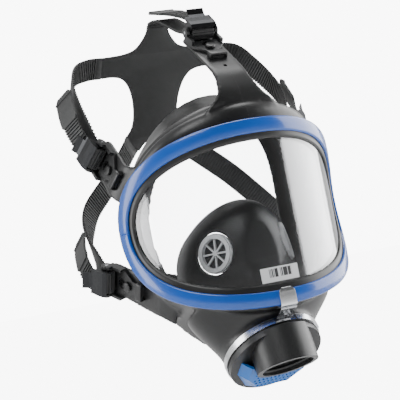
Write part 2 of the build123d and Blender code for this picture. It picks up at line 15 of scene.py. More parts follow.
import bpy
from mathutils import Matrix, Vector


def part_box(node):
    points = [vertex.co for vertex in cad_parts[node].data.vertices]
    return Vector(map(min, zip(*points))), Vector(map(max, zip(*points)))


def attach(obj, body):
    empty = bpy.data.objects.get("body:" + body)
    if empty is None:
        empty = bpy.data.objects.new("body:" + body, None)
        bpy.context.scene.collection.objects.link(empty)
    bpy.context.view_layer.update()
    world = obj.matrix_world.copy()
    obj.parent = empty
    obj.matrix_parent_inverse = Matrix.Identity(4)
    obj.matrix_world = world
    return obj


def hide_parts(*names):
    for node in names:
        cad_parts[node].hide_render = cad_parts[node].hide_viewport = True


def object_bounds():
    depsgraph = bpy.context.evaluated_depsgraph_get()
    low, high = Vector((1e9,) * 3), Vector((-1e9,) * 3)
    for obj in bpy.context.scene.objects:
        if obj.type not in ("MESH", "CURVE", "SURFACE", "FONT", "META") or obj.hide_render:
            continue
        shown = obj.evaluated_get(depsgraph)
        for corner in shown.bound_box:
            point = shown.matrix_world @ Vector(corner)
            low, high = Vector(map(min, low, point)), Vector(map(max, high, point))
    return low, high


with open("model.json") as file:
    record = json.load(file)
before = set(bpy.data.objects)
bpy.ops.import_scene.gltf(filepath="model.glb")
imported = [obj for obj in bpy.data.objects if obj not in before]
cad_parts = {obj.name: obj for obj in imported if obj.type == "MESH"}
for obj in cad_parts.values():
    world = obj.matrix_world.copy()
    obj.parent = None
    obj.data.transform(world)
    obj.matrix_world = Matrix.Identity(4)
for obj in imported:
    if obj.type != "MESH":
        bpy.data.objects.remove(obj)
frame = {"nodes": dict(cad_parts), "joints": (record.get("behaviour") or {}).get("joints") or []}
CAD_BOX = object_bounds()
MM = 0.001
STRIP_CHAMFER = 0.5
BUCKLE_SIDES = {"forehead": ("",), "temple": ("_left", "_right"), "neck": ("_left", "_right")}
log = logging.getLogger("respirator")

Pair = tuple[float, float]
Triple = tuple[float, float, float]
Station = tuple[Vector, Vector, Vector]
X_AXIS = Vector((1.0, 0.0, 0.0))
Z_AXIS = Vector((0.0, 0.0, 1.0))


# ---- shader maths ------------------------------------------------------------------------


class Socket:
    """A shader socket that takes part in Python arithmetic."""

    def __init__(self, graph: "Graph", socket: bpy.types.NodeSocket) -> None:
        """Wrap one output socket of a graph."""
        self.graph = graph
        self.socket = socket

    def __add__(self, other: "Socket | float") -> "Socket":
        """Sum of two values."""
        return self.graph.math("ADD", self, other)

    def __mul__(self, other: "Socket | float") -> "Socket":
        """Product of two values."""
        return self.graph.math("MULTIPLY", self, other)

    def __pow__(self, other: float) -> "Socket":
        """This value to a power."""
        return self.graph.math("POWER", self, other)

    def __lt__(self, other: "Socket | float") -> "Socket":
        """One where this value is below the other, else zero."""
        return self.graph.math("LESS_THAN", self, other)

    def __gt__(self, other: "Socket | float") -> "Socket":
        """One where this value is above the other, else zero."""
        return self.graph.math("GREATER_THAN", self, other)

    def __abs__(self) -> "Socket":
        """Size of this value without its sign."""
        return self.graph.math("ABSOLUTE", self)

    __radd__ = __add__
    __rmul__ = __mul__


class Graph:
    """Node tree of a material or of the world."""

    def __init__(self, owner: bpy.types.Material | bpy.types.World) -> None:
        """Start with no nodes.

        Args:
            owner: The material or world that the nodes belong to.
        """
        self.owner = owner
        owner.use_nodes = True
        self.tree = owner.node_tree
        self.tree.nodes.clear()

    @classmethod
    def material(cls, name: str) -> "Graph":
        """Graph of a new material."""
        return cls(bpy.data.materials.new(name))

    def node(
        self,
        kind: str,
        settings: dict[str, Any] | None = None,
        inputs: dict[str | int, Any] | None = None,
        output: str | int = 0,
    ) -> Socket:
        """Add one node.

        Args:
            kind: Blender's type name of the node.
            settings: Attributes to set first; "stops" holds a ramp's (place, colour) pairs.
            inputs: Values or sockets for the node's inputs.
            output: Which output to hand back.

        Returns:
            The chosen output.
        """
        made = self.tree.nodes.new(kind)
        for key, value in (settings or {}).items():
            if key == "stops":
                self._set_stops(made.color_ramp, value)
            else:
                setattr(made, key, value)
        for key, value in (inputs or {}).items():
            if isinstance(value, Socket):
                self.tree.links.new(value.socket, made.inputs[key])
            else:
                made.inputs[key].default_value = value
        return Socket(self, made.outputs[output])

    @staticmethod
    def _set_stops(
        ramp: bpy.types.ColorRamp, stops: Sequence[tuple[float, Sequence[float]]]
    ) -> None:
        """Give a colour ramp its stops.

        Args:
            ramp: The ramp to fill.
            stops: Places with their colours, in rising order.
        """
        while len(ramp.elements) < len(stops):
            ramp.elements.new(1.0)
        for element, (place, colour) in zip(ramp.elements, stops):
            element.position = place
            element.color = colour

    def math(
        self, operation: str, first: "Socket | float", second: "Socket | float" = 0.0
    ) -> Socket:
        """Add one Math node.

        Args:
            operation: The Math node's operation.
            first: Its first value.
            second: Its second value.

        Returns:
            The result.
        """
        return self.node("ShaderNodeMath", {"operation": operation}, {0: first, 1: second})

    def place(self, axis: str | None = None) -> Socket:
        """Object coordinates.

        Args:
            axis: X, Y or Z for one of them, or None for the vector.

        Returns:
            The coordinate in metres.
        """
        whole = self.node("ShaderNodeTexCoord", output="Object")
        if axis is None:
            return whole
        return self.node("ShaderNodeSeparateXYZ", inputs={0: whole}, output=axis)

    def noise(self, scale: float, detail: float = 2.0, stretch: Triple = (1.0, 1.0, 1.0)) -> Socket:
        """Smooth noise over the piece.

        Args:
            scale: Waves a metre.
            detail: Octaves of finer noise.
            stretch: Scale of each axis.

        Returns:
            Noise from 0 to 1.
        """
        mapped = self.node("ShaderNodeMapping", inputs={"Vector": self.place(), "Scale": stretch})
        values = {"Vector": mapped, "Scale": scale, "Detail": detail}
        return self.node("ShaderNodeTexNoise", inputs=values)

    def blend(self, share: Socket, low: Sequence[float], high: Sequence[float]) -> Socket:
        """Mix two colours.

        Args:
            share: How much of the second colour shows.
            low: The first colour.
            high: The second colour.

        Returns:
            The mixed colour.
        """
        ends = {0: share, 6: (*low, 1.0), 7: (*high, 1.0)}
        return self.node("ShaderNodeMix", {"data_type": "RGBA"}, ends, 2)

    def bump(self, height: Socket, distance: float, strength: float = 1.0) -> Socket:
        """Fine relief of a surface.

        Args:
            height: Relief from 0 to 1.
            distance: Depth of the relief in metres.
            strength: How much of it shows.

        Returns:
            The normal.
        """
        values = {"Height": height, "Distance": distance, "Strength": strength}
        return self.node("ShaderNodeBump", inputs=values)

    def finish(
        self, surface: Socket, output: str = "ShaderNodeOutputMaterial"
    ) -> bpy.types.Material | bpy.types.World:
        """Connect the surface.

        Args:
            surface: What the material or world shows.
            output: Blender's type name of the output node.

        Returns:
            The material or world.
        """
        last = self.tree.nodes.new(output)
        self.tree.links.new(surface.socket, last.inputs["Surface"])
        return self.owner

    def principled(self, values: dict[str, Any]) -> bpy.types.Material:
        """Finish a material with one Principled shader and its inputs."""
        return self.finish(self.node("ShaderNodeBsdfPrincipled", inputs=values))


# ---- finishes ----------------------------------------------------------------------------


@dataclass(frozen=True)
class Rubber:
    """Moulded rubber: soft sheen, broad patches and a fine grain."""

    name: str
    dark: Triple = (0.007, 0.0072, 0.0075)
    light: Triple = (0.013, 0.0133, 0.0137)
    roughness: float = 0.34
    patchiness: float = 0.16
    grain: float = 1500.0
    grain_depth: float = 0.00005
    seam_half_width: float = 0.0
    seam_low: float = 0.066

    def build(self) -> bpy.types.Material:
        """Make the material."""
        graph = Graph.material(self.name)
        patches = graph.noise(38.0, 4.0)
        fine = graph.noise(self.grain, 2.0)
        height = fine
        if self.seam_half_width:
            seam = abs(graph.place("X")) < self.seam_half_width
            seam = seam * (graph.place("Z") > self.seam_low)
            height = fine * 0.25 + seam * 2.0
        values = {
            "Base Color": graph.blend(patches, self.dark, self.light),
            "Roughness": patches * self.patchiness + (self.roughness - self.patchiness / 2),
            "Normal": graph.bump(height, self.grain_depth),
            "Specular IOR Level": 0.5,
        }
        return graph.principled(values)


@dataclass(frozen=True)
class Plastic:
    """Moulded plastic with faint flow marks, scuffs and an optional clear gloss."""

    name: str
    dark: Triple
    light: Triple
    roughness: float = 0.4
    scuffs: float = 0.12
    gloss: float = 0.0
    grain: float = 2400.0
    grain_depth: float = 0.00002

    def build(self) -> bpy.types.Material:
        """Make the material."""
        graph = Graph.material(self.name)
        flow = graph.noise(22.0, 3.0)
        scuff = graph.noise(160.0, 6.0, (1.0, 1.0, 4.0))
        values = {
            "Base Color": graph.blend(flow, self.dark, self.light),
            "Roughness": scuff * self.scuffs + (self.roughness - self.scuffs / 2),
            "Normal": graph.bump(graph.noise(self.grain, 1.0), self.grain_depth),
            "Coat Weight": self.gloss,
            "Coat Roughness": 0.06,
        }
        return graph.principled(values)


@dataclass(frozen=True)
class Steel:
    """Pressed or rolled steel with fine lines along one axis."""

    name: str
    colour: Triple
    shade: Triple
    roughness: float = 0.2
    brushing: float = 0.14
    lines: Triple = (1.0, 1.0, 14.0)

    def build(self) -> bpy.types.Material:
        """Make the material."""
        graph = Graph.material(self.name)
        brushed = graph.noise(420.0, 4.0, self.lines)
        tarnish = graph.noise(60.0, 3.0)
        values = {
            "Base Color": graph.blend(tarnish, self.shade, self.colour),
            "Metallic": 1.0,
            "Roughness": brushed * self.brushing + (self.roughness - self.brushing / 2),
            "Normal": graph.bump(brushed, 0.00001),
        }
        return graph.principled(values)


@dataclass(frozen=True)
class ClearPane:
    """Clear polycarbonate: what is behind shows, and reflections grow towards the edges."""

    name: str
    tint: Triple = (0.975, 0.98, 0.985)
    facing_reflection: float = 0.05
    edge_reflection: float = 0.95
    falloff: float = 1.9
    polish: float = 0.045
    smears: float = 0.06

    def build(self) -> bpy.types.Material:
        """Make the material."""
        graph = Graph.material(self.name)
        facing = graph.node("ShaderNodeLayerWeight", inputs={"Blend": 0.5}, output="Facing")
        share = facing**self.falloff * self.edge_reflection + self.facing_reflection
        clear = graph.node("ShaderNodeBsdfTransparent", inputs={"Color": (*self.tint, 1.0)})
        film = graph.noise(45.0, 3.0)
        mirror = graph.node(
            "ShaderNodeBsdfPrincipled",
            inputs={
                "Base Color": (0.96, 0.97, 0.98, 1.0),
                "Metallic": 1.0,
                "Roughness": film * self.smears + self.polish,
            },
        )
        parts = {0: share, 1: clear, 2: mirror}
        return graph.finish(graph.node("ShaderNodeMixShader", inputs=parts))


@dataclass(frozen=True)
class BarLabel:
    """Pale printed film with a row of plain dark bars."""

    name: str
    paper: Triple = (0.62, 0.63, 0.64)
    ink: Triple = (0.03, 0.03, 0.032)
    bar_pitch: float = 0.0005
    half_length: float = 0.0096
    low: float = -0.0526
    high: float = -0.0462
    blank_share: float = 0.36

    def build(self) -> bpy.types.Material:
        """Make the material."""
        graph = Graph.material(self.name)
        across = graph.place("X")
        up = graph.place("Z")
        column = graph.math("FLOOR", across * (1.0 / self.bar_pitch))
        one_value = {"noise_dimensions": "1D"}
        chance = graph.node("ShaderNodeTexWhiteNoise", one_value, {"W": column})
        window = (abs(across) < self.half_length) * (up > self.low) * (up < self.high)
        ink = (chance > self.blank_share) * window
        values = {
            "Base Color": graph.blend(ink, self.paper, self.ink),
            "Roughness": graph.noise(300.0) * 0.1 + 0.35,
        }
        return graph.principled(values)


class Finish(Enum):
    """The finishes of the mask's pieces."""

    BODY = Rubber("body_rubber", seam_half_width=0.00022)
    INNER = Rubber("inner_rubber", (0.006, 0.006, 0.0065), (0.011, 0.011, 0.0115), 0.42)
    HARNESS = Rubber("harness_rubber", (0.013, 0.014, 0.014), (0.021, 0.022, 0.022), 0.52)
    VALVE = Rubber("valve_rubber", roughness=0.5)
    BLUE = Plastic("frame_blue", (0.0, 0.066, 0.36), (0.0, 0.078, 0.42), 0.24, 0.08, 0.5)
    COVER = Plastic("cover_blue", (0.005, 0.13, 0.48), (0.005, 0.15, 0.54), 0.36, 0.1, 0.1)
    BLACK = Plastic("housing_black", (0.009, 0.0095, 0.01), (0.015, 0.0155, 0.016), 0.38)
    BUCKLE = Plastic("buckle_black", (0.008, 0.0085, 0.009), (0.014, 0.015, 0.015), 0.4)
    GREY = Plastic("seat_grey", (0.60, 0.61, 0.62), (0.68, 0.69, 0.70), 0.34, 0.1, 0.2)
    BRIGHT = Steel("bright_steel", (0.80, 0.81, 0.82), (0.66, 0.67, 0.69), 0.2)
    SATIN = Steel("satin_steel", (0.6, 0.61, 0.63), (0.5, 0.51, 0.53), 0.27)
    DARK = Steel("blackened_steel", (0.045, 0.046, 0.048), (0.03, 0.031, 0.033), 0.3)
    CLEAR = ClearPane("clear_visor")
    LABEL = BarLabel("bar_label")


FINISH_OF_NODE = {
    "exhalation_cover": Finish.COVER,
    "clasp_screw": Finish.SATIN,
    "housing_clamp": Finish.BRIGHT,
    "frame_screws": Finish.SATIN,
    "connector_housing": Finish.BLACK,
    "port_gasket": Finish.VALVE,
    "inlet_grid": Finish.BLACK,
    "inlet_valve_disc": Finish.VALVE,
    "exhalation_seat": Finish.BLACK,
    "exhalation_disc": Finish.VALVE,
    "inner_seat_left": Finish.GREY,
    "inner_seat_right": Finish.GREY,
    "inner_disc_left": Finish.VALVE,
    "inner_disc_right": Finish.VALVE,
    "visor_label": Finish.LABEL,
}
FINISH_OF_BUCKLE_PART = {
    "buckle": Finish.BUCKLE,
    "pin": Finish.SATIN,
    "roller": Finish.BUCKLE,
    "lever": Finish.DARK,
}


class Paintbox:
    """Makes each finish's material once."""

    def __init__(self) -> None:
        """Start with no materials made."""
        self.made: dict[Finish, bpy.types.Material] = {}

    def paint(self, piece: bpy.types.Object, finish: Finish) -> None:
        """Give a piece its finish.

        Args:
            piece: The piece to paint.
            finish: The finish that it gets.
        """
        if finish not in self.made:
            self.made[finish] = finish.value.build()
        if piece.material_slots:
            for slot in piece.material_slots:
                slot.material = self.made[finish]
        else:
            piece.data.materials.append(self.made[finish])


# ---- modelling tools ---------------------------------------------------------------------


def activate(piece: bpy.types.Object) -> None:
    """Make a piece the only selected one."""
    if bpy.context.object and bpy.context.object.mode != "OBJECT":
        bpy.ops.object.mode_set(mode="OBJECT")
    bpy.ops.object.select_all(action="DESELECT")
    piece.select_set(True)
    bpy.context.view_layer.objects.active = piece


def apply_modifier(piece: bpy.types.Object, kind: str, **settings: Any) -> None:
    """Add a modifier and apply it.

    Args:
        piece: The piece to change.
        kind: The modifier's type.
        settings: Its settings.
    """
    activate(piece)
    modifier = piece.modifiers.new(kind.lower(), kind)
    for key, value in settings.items():
        setattr(modifier, key, value)
    bpy.ops.object.modifier_apply(modifier=modifier.name)


def close_mesh(piece: bpy.types.Object, cap: bool) -> None:
    """Merge doubles, close open ends and point the faces outwards.

    Args:
        piece: The piece to close.
        cap: True where open ends get a face.
    """
    activate(piece)
    bpy.ops.object.mode_set(mode="EDIT")
    bpy.ops.mesh.select_all(action="SELECT")
    bpy.ops.mesh.remove_doubles(threshold=1e-6)
    if cap:
        bpy.ops.mesh.fill_holes(sides=0)
        bpy.ops.mesh.select_all(action="SELECT")
    bpy.ops.mesh.normals_make_consistent(inside=False)
    bpy.ops.object.mode_set(mode="OBJECT")


def smooth(piece: bpy.types.Object, angle: float) -> None:
    """Shade smoothly except where faces meet at more than the angle in degrees."""
    activate(piece)
    bpy.ops.object.shade_smooth_by_angle(angle=radians(angle))


def mirror(piece: bpy.types.Object) -> None:
    """Turn a piece of the wearer's left side into one of the right side."""
    piece.data.transform(Matrix.Scale(-1, 4, X_AXIS))
    close_mesh(piece, False)


def loft(
    name: str, rings: Sequence[Sequence[Vector]], around: bool = False, cap: bool = True
) -> bpy.types.Object:
    """Skin over closed rings of points, laid on a grid primitive.

    Args:
        name: The piece's name.
        rings: Rings of points in millimetres, each with the same number of points.
        around: True where the last ring is joined to the first one.
        cap: True where the end rings get a face.

    Returns:
        The closed piece.
    """
    columns = len(rings[0])
    rows = len(rings) if around else len(rings) - 1
    bpy.ops.object.select_all(action="DESELECT")
    bpy.ops.mesh.primitive_grid_add(x_subdivisions=columns, y_subdivisions=rows, size=2.0)
    piece = bpy.context.object
    piece.name = name
    for vertex in piece.data.vertices:
        column = round((vertex.co.x + 1) / 2 * columns) % columns
        row = round((vertex.co.y + 1) / 2 * rows) % len(rings)
        vertex.co = rings[row][column] * MM
    close_mesh(piece, cap and not around)
    return piece


def prism(
    name: str, outline: Sequence[Pair], low: float, high: float, place: Matrix
) -> bpy.types.Object:
    """Flat outline extruded between two heights, then put in its place.

    Args:
        name: The piece's name.
        outline: Points of the outline in millimetres.
        low: Height of its lower face.
        high: Height of its upper face.
        place: Where its own frame lies, in metres.

    Returns:
        The closed piece.
    """
    bpy.ops.object.select_all(action="DESELECT")
    bpy.ops.mesh.primitive_circle_add(vertices=len(outline), radius=1.0, fill_type="NGON")
    piece = bpy.context.object
    piece.name = name
    for vertex, (x, y) in zip(piece.data.vertices, outline):
        vertex.co = Vector((x, y, low)) * MM
    bpy.ops.object.mode_set(mode="EDIT")
    bpy.ops.mesh.select_all(action="SELECT")
    rise = {"value": (0.0, 0.0, (high - low) * MM)}
    bpy.ops.mesh.extrude_region_move(TRANSFORM_OT_translate=rise)
    bpy.ops.mesh.select_all(action="SELECT")
    bpy.ops.mesh.normals_make_consistent(inside=False)
    bpy.ops.object.mode_set(mode="OBJECT")
    piece.data.transform(place)
    return piece


def drum(
    name: str, radius: float, low: float, high: float, place: Matrix, sides: int = 48
) -> bpy.types.Object:
    """Round bar between two heights of a frame.

    Args:
        name: The piece's name.
        radius: Its radius in millimetres.
        low: Height of its lower face.
        high: Height of its upper face.
        place: Where its own frame lies, in metres.
        sides: How many flat sides make it round.

    Returns:
        The closed piece.
    """
    turns = [2 * pi * i / sides for i in range(sides)]
    return prism(name, [(radius * cos(t), radius * sin(t)) for t in turns], low, high, place)


def cut(piece: bpy.types.Object, cutter: bpy.types.Object) -> None:
    """Take a cutter's shape out of a piece and remove the cutter.

    Args:
        piece: The piece that is cut.
        cutter: The shape that is taken away.
    """
    apply_modifier(piece, "BOOLEAN", operation="DIFFERENCE", object=cutter, solver="EXACT")
    bpy.data.objects.remove(cutter)


def join(pieces: Sequence[bpy.types.Object], name: str) -> bpy.types.Object:
    """Join pieces into one object.

    Args:
        pieces: The pieces to join.
        name: The name of the result.

    Returns:
        The joined piece.
    """
    activate(pieces[0])
    for piece in pieces:
        piece.select_set(True)
    bpy.ops.object.join()
    bpy.context.object.name = name
    return bpy.context.object


def frame_matrix(origin: Vector, along: Vector, outward: Vector) -> Matrix:
    """Frame with X along, Z outward and its origin at a point in millimetres.

    Args:
        origin: The frame's origin in millimetres.
        along: Its X direction.
        outward: Its Z direction.

    Returns:
        The matrix in metres.
    """
    across = outward.cross(along)
    turned = Matrix((along, across, outward)).transposed().to_4x4()
    return Matrix.Translation(origin * MM) @ turned


def spline(points: Sequence[Vector], per_span: int) -> list[Vector]:
    """Smooth line through points.

    Args:
        points: What the line passes through.
        per_span: How many steps lie between two points.

    Returns:
        Points along the line, the first and last included.
    """
    line = []
    for i in range(len(points) - 1):
        before = points[max(i - 1, 0)]
        start, end = points[i], points[i + 1]
        after = points[min(i + 2, len(points) - 1)]
        for step in range(per_span):
            t = step / per_span
            bend = start * 2 + (end - before) * t
            bend += (before * 2 - start * 5 + end * 4 - after) * t**2
            bend += (start * 3 - before - end * 3 + after) * t**3
            line.append(bend / 2)
    line.append(points[-1].copy())
    return line


def heading_at(points: Sequence[Vector], i: int) -> Vector:
    """Direction of a line at one of its points."""
    return (points[min(i + 1, len(points) - 1)] - points[max(i - 1, 0)]).normalized()


def spline_with_width(
    knots: Sequence[Vector], per_span: int
) -> tuple[list[Vector], list[float]]:
    """Smooth line through points that carry a width as their fourth value.

    Args:
        knots: Points with a width each.
        per_span: How many steps lie between two points.

    Returns:
        Points along the line, and the width at each of them.
    """
    places = spline([knot.to_3d() for knot in knots], per_span)
    widths = spline([Vector((knot.w, 0.0, 0.0)) for knot in knots], per_span)
    return places, [width.x for width in widths]


def strip_ring(
    centre: Vector, side: Vector, out: Vector, width: float, low: float, high: float
) -> list[Vector]:
    """Chamfered outline across a flat strip.

    Args:
        centre: Middle of the strip.
        side: Direction across it.
        out: Direction of its upper face.
        width: Its width.
        low: Height of its lower face.
        high: Height of its upper face.

    Returns:
        Eight points round the strip.
    """
    edge = min(STRIP_CHAMFER, (high - low) / 3)
    half = width / 2
    outline = [
        (-half + edge, low), (half - edge, low), (half, low + edge), (half, high - edge),
        (half - edge, high), (-half + edge, high), (-half, high - edge), (-half, low + edge),
    ]
    return [centre + side * x + out * z for x, z in outline]


def place_piece(
    piece: bpy.types.Object, paints: Paintbox, finish: Finish, slot: str, *nodes: str
) -> None:
    """Paint a piece, ride on the root body and stand for CAD nodes.

    Args:
        piece: The finished piece.
        paints: Where the material comes from.
        finish: The finish that it gets.
        slot: The record's material slot, which is not used.
        nodes: The CAD nodes that it replaces.
    """
    paints.paint(piece, finish)
    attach(piece, "root")
    if nodes:
        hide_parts(*nodes)
    log.info("%s: %d faces", piece.name, len(piece.data.polygons))


def signed_power(value: float, power: float) -> float:
    """Power of a value that keeps its sign."""
    return copysign(abs(value) ** power, value)


def ease(value: float) -> float:
    """Smooth step from 0 to 1."""
    held = min(max(value, 0.0), 1.0)
    return held * held * (3 - 2 * held)


# ---- the line where visor and frame meet ----------------------------------------------------


@dataclass(frozen=True)
class RimLine:
    """Closed line round the visor, on the visor's cylinder, in millimetres."""

    radius: float = 91.0
    axis_y: float = 11.0
    half_arc: float = 123.5
    frame_overhang: float = 0.8
    power: float = 2.12
    level: float = 1e-9

    def height(self, upper: bool) -> float:
        """How far the rim reaches above or below the middle."""
        if upper:
            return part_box("frame_upper")[1].z / MM - self.frame_overhang
        return -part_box("frame_lower")[0].z / MM - self.frame_overhang

    def points(self, profile: Sequence[Pair], angle: float) -> list[Vector]:
        """Points at one place round the rim.

        Args:
            profile: Pairs of distance outwards along the cylinder and radius.
            angle: Where on the rim: 0 is the wearer's left and 90 the top.

        Returns:
            One point for each pair.
        """
        turn = radians(angle)
        across = cos(turn) if abs(cos(turn)) > self.level else 0.0
        up = sin(turn) if abs(sin(turn)) > self.level else 0.0
        height = self.height(up >= 0)
        arc = self.half_arc * signed_power(across, 2 / self.power)
        rise = height * signed_power(up, 2 / self.power)
        slope_arc = signed_power(arc / self.half_arc, self.power - 1) / self.half_arc
        slope_rise = signed_power(rise / height, self.power - 1) / height
        length = sqrt(slope_arc**2 + slope_rise**2)
        found = []
        for outward, radius in profile:
            swing = (arc + outward * slope_arc / length) / self.radius
            z = rise + outward * slope_rise / length
            found.append(Vector((radius * sin(swing), self.axis_y - radius * cos(swing), z)))
        return found


# ---- facepiece -------------------------------------------------------------------------------


@dataclass
class Tab:
    """Flat rubber tab that carries a buckle, on the wearer's left or in the middle."""

    stud: Triple
    along: Triple
    outward: Triple
    root: tuple[tuple[Triple, float], ...]
    ends: tuple[Pair, ...]
    thickness: float = 3.0

    def directions(self) -> tuple[Vector, Vector]:
        """The tab's direction and the way its outer face looks."""
        along = Vector(self.along).normalized()
        outward = Vector(self.outward)
        outward = (outward - along * outward.dot(along)).normalized()
        return along, outward

    def place(self) -> Matrix:
        """Frame of the buckle's stud."""
        along, outward = self.directions()
        return frame_matrix(Vector(self.stud), along, outward)

    def build(self, name: str) -> bpy.types.Object:
        """Make the tab as one closed strip.

        Args:
            name: The piece's name.

        Returns:
            The strip.
        """
        along, outward = self.directions()
        across = outward.cross(along)
        middle = Vector(self.stud) - outward * (self.thickness / 2)
        knots = [Vector((*point, width)) for point, width in self.root]
        knots += [Vector((*(middle + along * far), width)) for far, width in self.ends]
        half = self.thickness / 2
        points, widths = spline_with_width(knots, 6)
        rings = []
        for i, (point, width) in enumerate(zip(points, widths)):
            ahead = heading_at(points, i)
            side = (across - ahead * across.dot(ahead)).normalized()
            rings.append(strip_ring(point, side, ahead.cross(side), width, -half, half))
        return loft(name, rings)


TABS = {
    "forehead": Tab(
        (0, -33, 129), (0, 0.79, 0.61), (0, -0.61, 0.79),
        (
            ((0, -66, 74), 66), ((0, -70, 80), 54), ((0, -69.5, 88), 38),
            ((0, -65, 97), 31), ((0, -58, 107), 27.5),
        ),
        ((-19, 27.5), (0, 27.5), (14, 27.5), (22, 27), (25, 22)),
    ),
    "temple": Tab(
        (83, 8, 51), (0.0, 0.72, 0.69), (0.93, -0.30, 0.21),
        (((66, -20, 26), 36), ((74, -12, 33), 34)),
        ((-14, 30), (0, 28.5), (12, 28), (22, 27), (27, 20)),
    ),
    "neck": Tab(
        (79.5, 24, -38.5), (0.38, 0.80, 0.46), (0.90, -0.36, -0.20),
        (((60, -18, -56), 44), ((68, -6, -50), 38)),
        ((-17, 31), (0, 28), (12, 27.5), (18, 26), (21, 20)),
    ),
}


@dataclass
class Facepiece:
    """Moulded rubber body: rolled rim, face seal, chin neck, tabs and the visor's channel."""

    rim: RimLine
    seal_half_width: float = 76.0
    seal_top: float = 97.0
    seal_bottom: float = 108.0
    seal_side_y: float = 22.0
    top_dip: float = 34.0
    bottom_dip: float = 22.0
    flap: float = 20.0
    wall: float = 3.2
    clamp_centre: Triple = (0.0, -40.6, -106.3)
    clamp_tilt: float = 54.0
    neck_radius: float = 37.8
    voxel: float = 1.35
    passes: int = 7
    ring_step: int = 3
    skin_start: Pair = (-4.0, 87.4)
    skin_end: Pair = (-9.0, 87.2)
    crest_out: Triple = (-7.0, 20.0, 9.0)
    crest_radius: Pair = (83.0, 0.8)
    roll_lifts: tuple[Triple, ...] = (
        (0.07, 0.4, -1.6), (0.13, 0.8, -2.0), (0.22, 1.2, 1.2),
        (0.34, 1.5, 0.8), (0.6, 1.6, 0.0), (0.85, 1.0, 0.0),
    )
    seal_section: tuple[Pair, ...] = ((0.5, 0.4), (1.0, 4.0), (1.0, 6.2), (0.5, 3.0))
    chin_top: Triple = (0.0, -33.0, -70.0)
    chin_up: Triple = (0.0, -0.94, 0.35)
    chin_half_x: float = 60.0
    chin_half_y: float = 41.0
    straight_neck: float = 6.0
    channel_section: tuple[Pair, ...] = (
        (-15.5, 91.1), (-15.5, 91.7), (-15.2, 92.2), (-14.2, 92.7), (-13.0, 92.9), (-0.9, 92.9),
        (-0.9, 86.8), (-12.0, 86.8), (-12.0, 88.3), (-2.0, 88.3), (-2.0, 91.1),
    )
    buckle_loop: tuple[Pair, ...] = (
        (-7.5, 0), (-7.5, 4.2), (-6.6, 5.0), (6.6, 5.0), (7.5, 4.2), (7.5, 0),
        (5.4, 0), (5.4, 2.8), (-5.4, 2.8), (-5.4, 0),
    )
    loop_ahead: float = -16.0
    loop_length: float = 6.0
    hole_ahead: float = -27.5
    hole_radius: float = 1.5

    def clamp_frame(self) -> Matrix:
        """Frame of the connector, with Z leaving the mask."""
        tilt = radians(self.clamp_tilt)
        out = Vector((0.0, -cos(tilt), -sin(tilt)))
        return frame_matrix(Vector(self.clamp_centre), X_AXIS, out)

    def seal_point(self, heading: float, inset: float, ahead: float) -> Vector:
        """Point on the face seal.

        Args:
            heading: Direction from the middle: 0 is up and a quarter turn the wearer's left.
            inset: Distance in from the edge.
            ahead: Distance in front of the edge.

        Returns:
            The point.
        """
        s, c = sin(heading), cos(heading)
        tall = self.seal_top if c >= 0 else self.seal_bottom
        dip = self.top_dip if c >= 0 else self.bottom_dip
        reach = 1 / sqrt((s / self.seal_half_width) ** 2 + (c / tall) ** 2) - inset
        return Vector((reach * s, self.seal_side_y - dip * c**2 - ahead, reach * c))

    def wall_ring(self, angle: float) -> list[Vector]:
        """Closed section of the wall, with its two rolls above and smooth below.

        Args:
            angle: Where on the rim the section lies.

        Returns:
            Points round the section.
        """
        up = max(sin(radians(angle)), 0.0)
        down = max(-sin(radians(angle)), 0.0)
        roll = ease((up - 0.05) / 0.5)
        at_side, more_above, more_below = self.crest_out
        crest_out = at_side + more_above * up + more_below * down
        crest_radius = self.crest_radius[0] + self.crest_radius[1] * up
        section = [self.skin_start, (crest_out, crest_radius), self.skin_end]
        start, crest, end = self.rim.points(section, angle)
        inner_crest_at = (crest_out - self.wall, crest_radius - self.wall)
        inner_crest = self.rim.points([inner_crest_at], angle)[0]
        after, before = (self.rim.points([(0.0, 88.0)], angle + turn)[0] for turn in (1.0, -1.0))
        ahead = after - before
        heading = atan2(start.x, start.z)
        edge = self.seal_point(heading, 0.0, 0.0)
        across = ahead.cross(edge - crest).normalized()
        face = across if across.dot(crest) > 0 else -across
        front = ahead.cross(crest - start).normalized()
        front = front if front.dot(start) > 0 else -front
        knots = [start, start.lerp(crest, 0.3) + front * (1.0 + 1.5 * up)]
        knots += [start.lerp(crest, 0.7) + front * (1.0 + 2.0 * up), crest + face * 0.8]
        for share, lift, rolled in self.roll_lifts:
            knots.append(crest.lerp(edge, share) + face * (lift + rolled * roll))
        knots.append(edge)
        inside = [
            self.seal_point(heading, self.flap * inset, front_of_edge)
            for inset, front_of_edge in self.seal_section
        ]
        inside += [self.seal_point(heading, self.wall, self.wall), inner_crest, end]
        return spline(knots, 4) + inside

    def chin_ring(self, share: float, inset: float) -> list[Vector]:
        """Ring of the chin neck between its oval top and the round clamp seat.

        Args:
            share: 0 at the top and 1 where the neck becomes straight.
            inset: Distance inwards.

        Returns:
            Points round the ring.
        """
        clamp = self.clamp_frame()
        out = clamp.to_3x3() @ Z_AXIS
        round_up = clamp.to_3x3() @ Vector((0.0, 1.0, 0.0))
        foot = Vector(self.clamp_centre) - out * self.straight_neck
        turn = ease(share)
        centre = Vector(self.chin_top).lerp(foot, share)
        rise = Vector(self.chin_up).normalized().lerp(round_up, turn).normalized()
        narrowing = ease(share * 0.92 + 0.04)
        half_x = self.chin_half_x + (self.neck_radius - self.chin_half_x) * narrowing - inset
        half_y = self.chin_half_y + (self.neck_radius - self.chin_half_y) * turn - inset
        turns = [2 * pi * i / 72 for i in range(72)]
        return [
            centre + Vector((half_x * cos(t), 0, 0)) + rise * (half_y * sin(t)) for t in turns
        ]

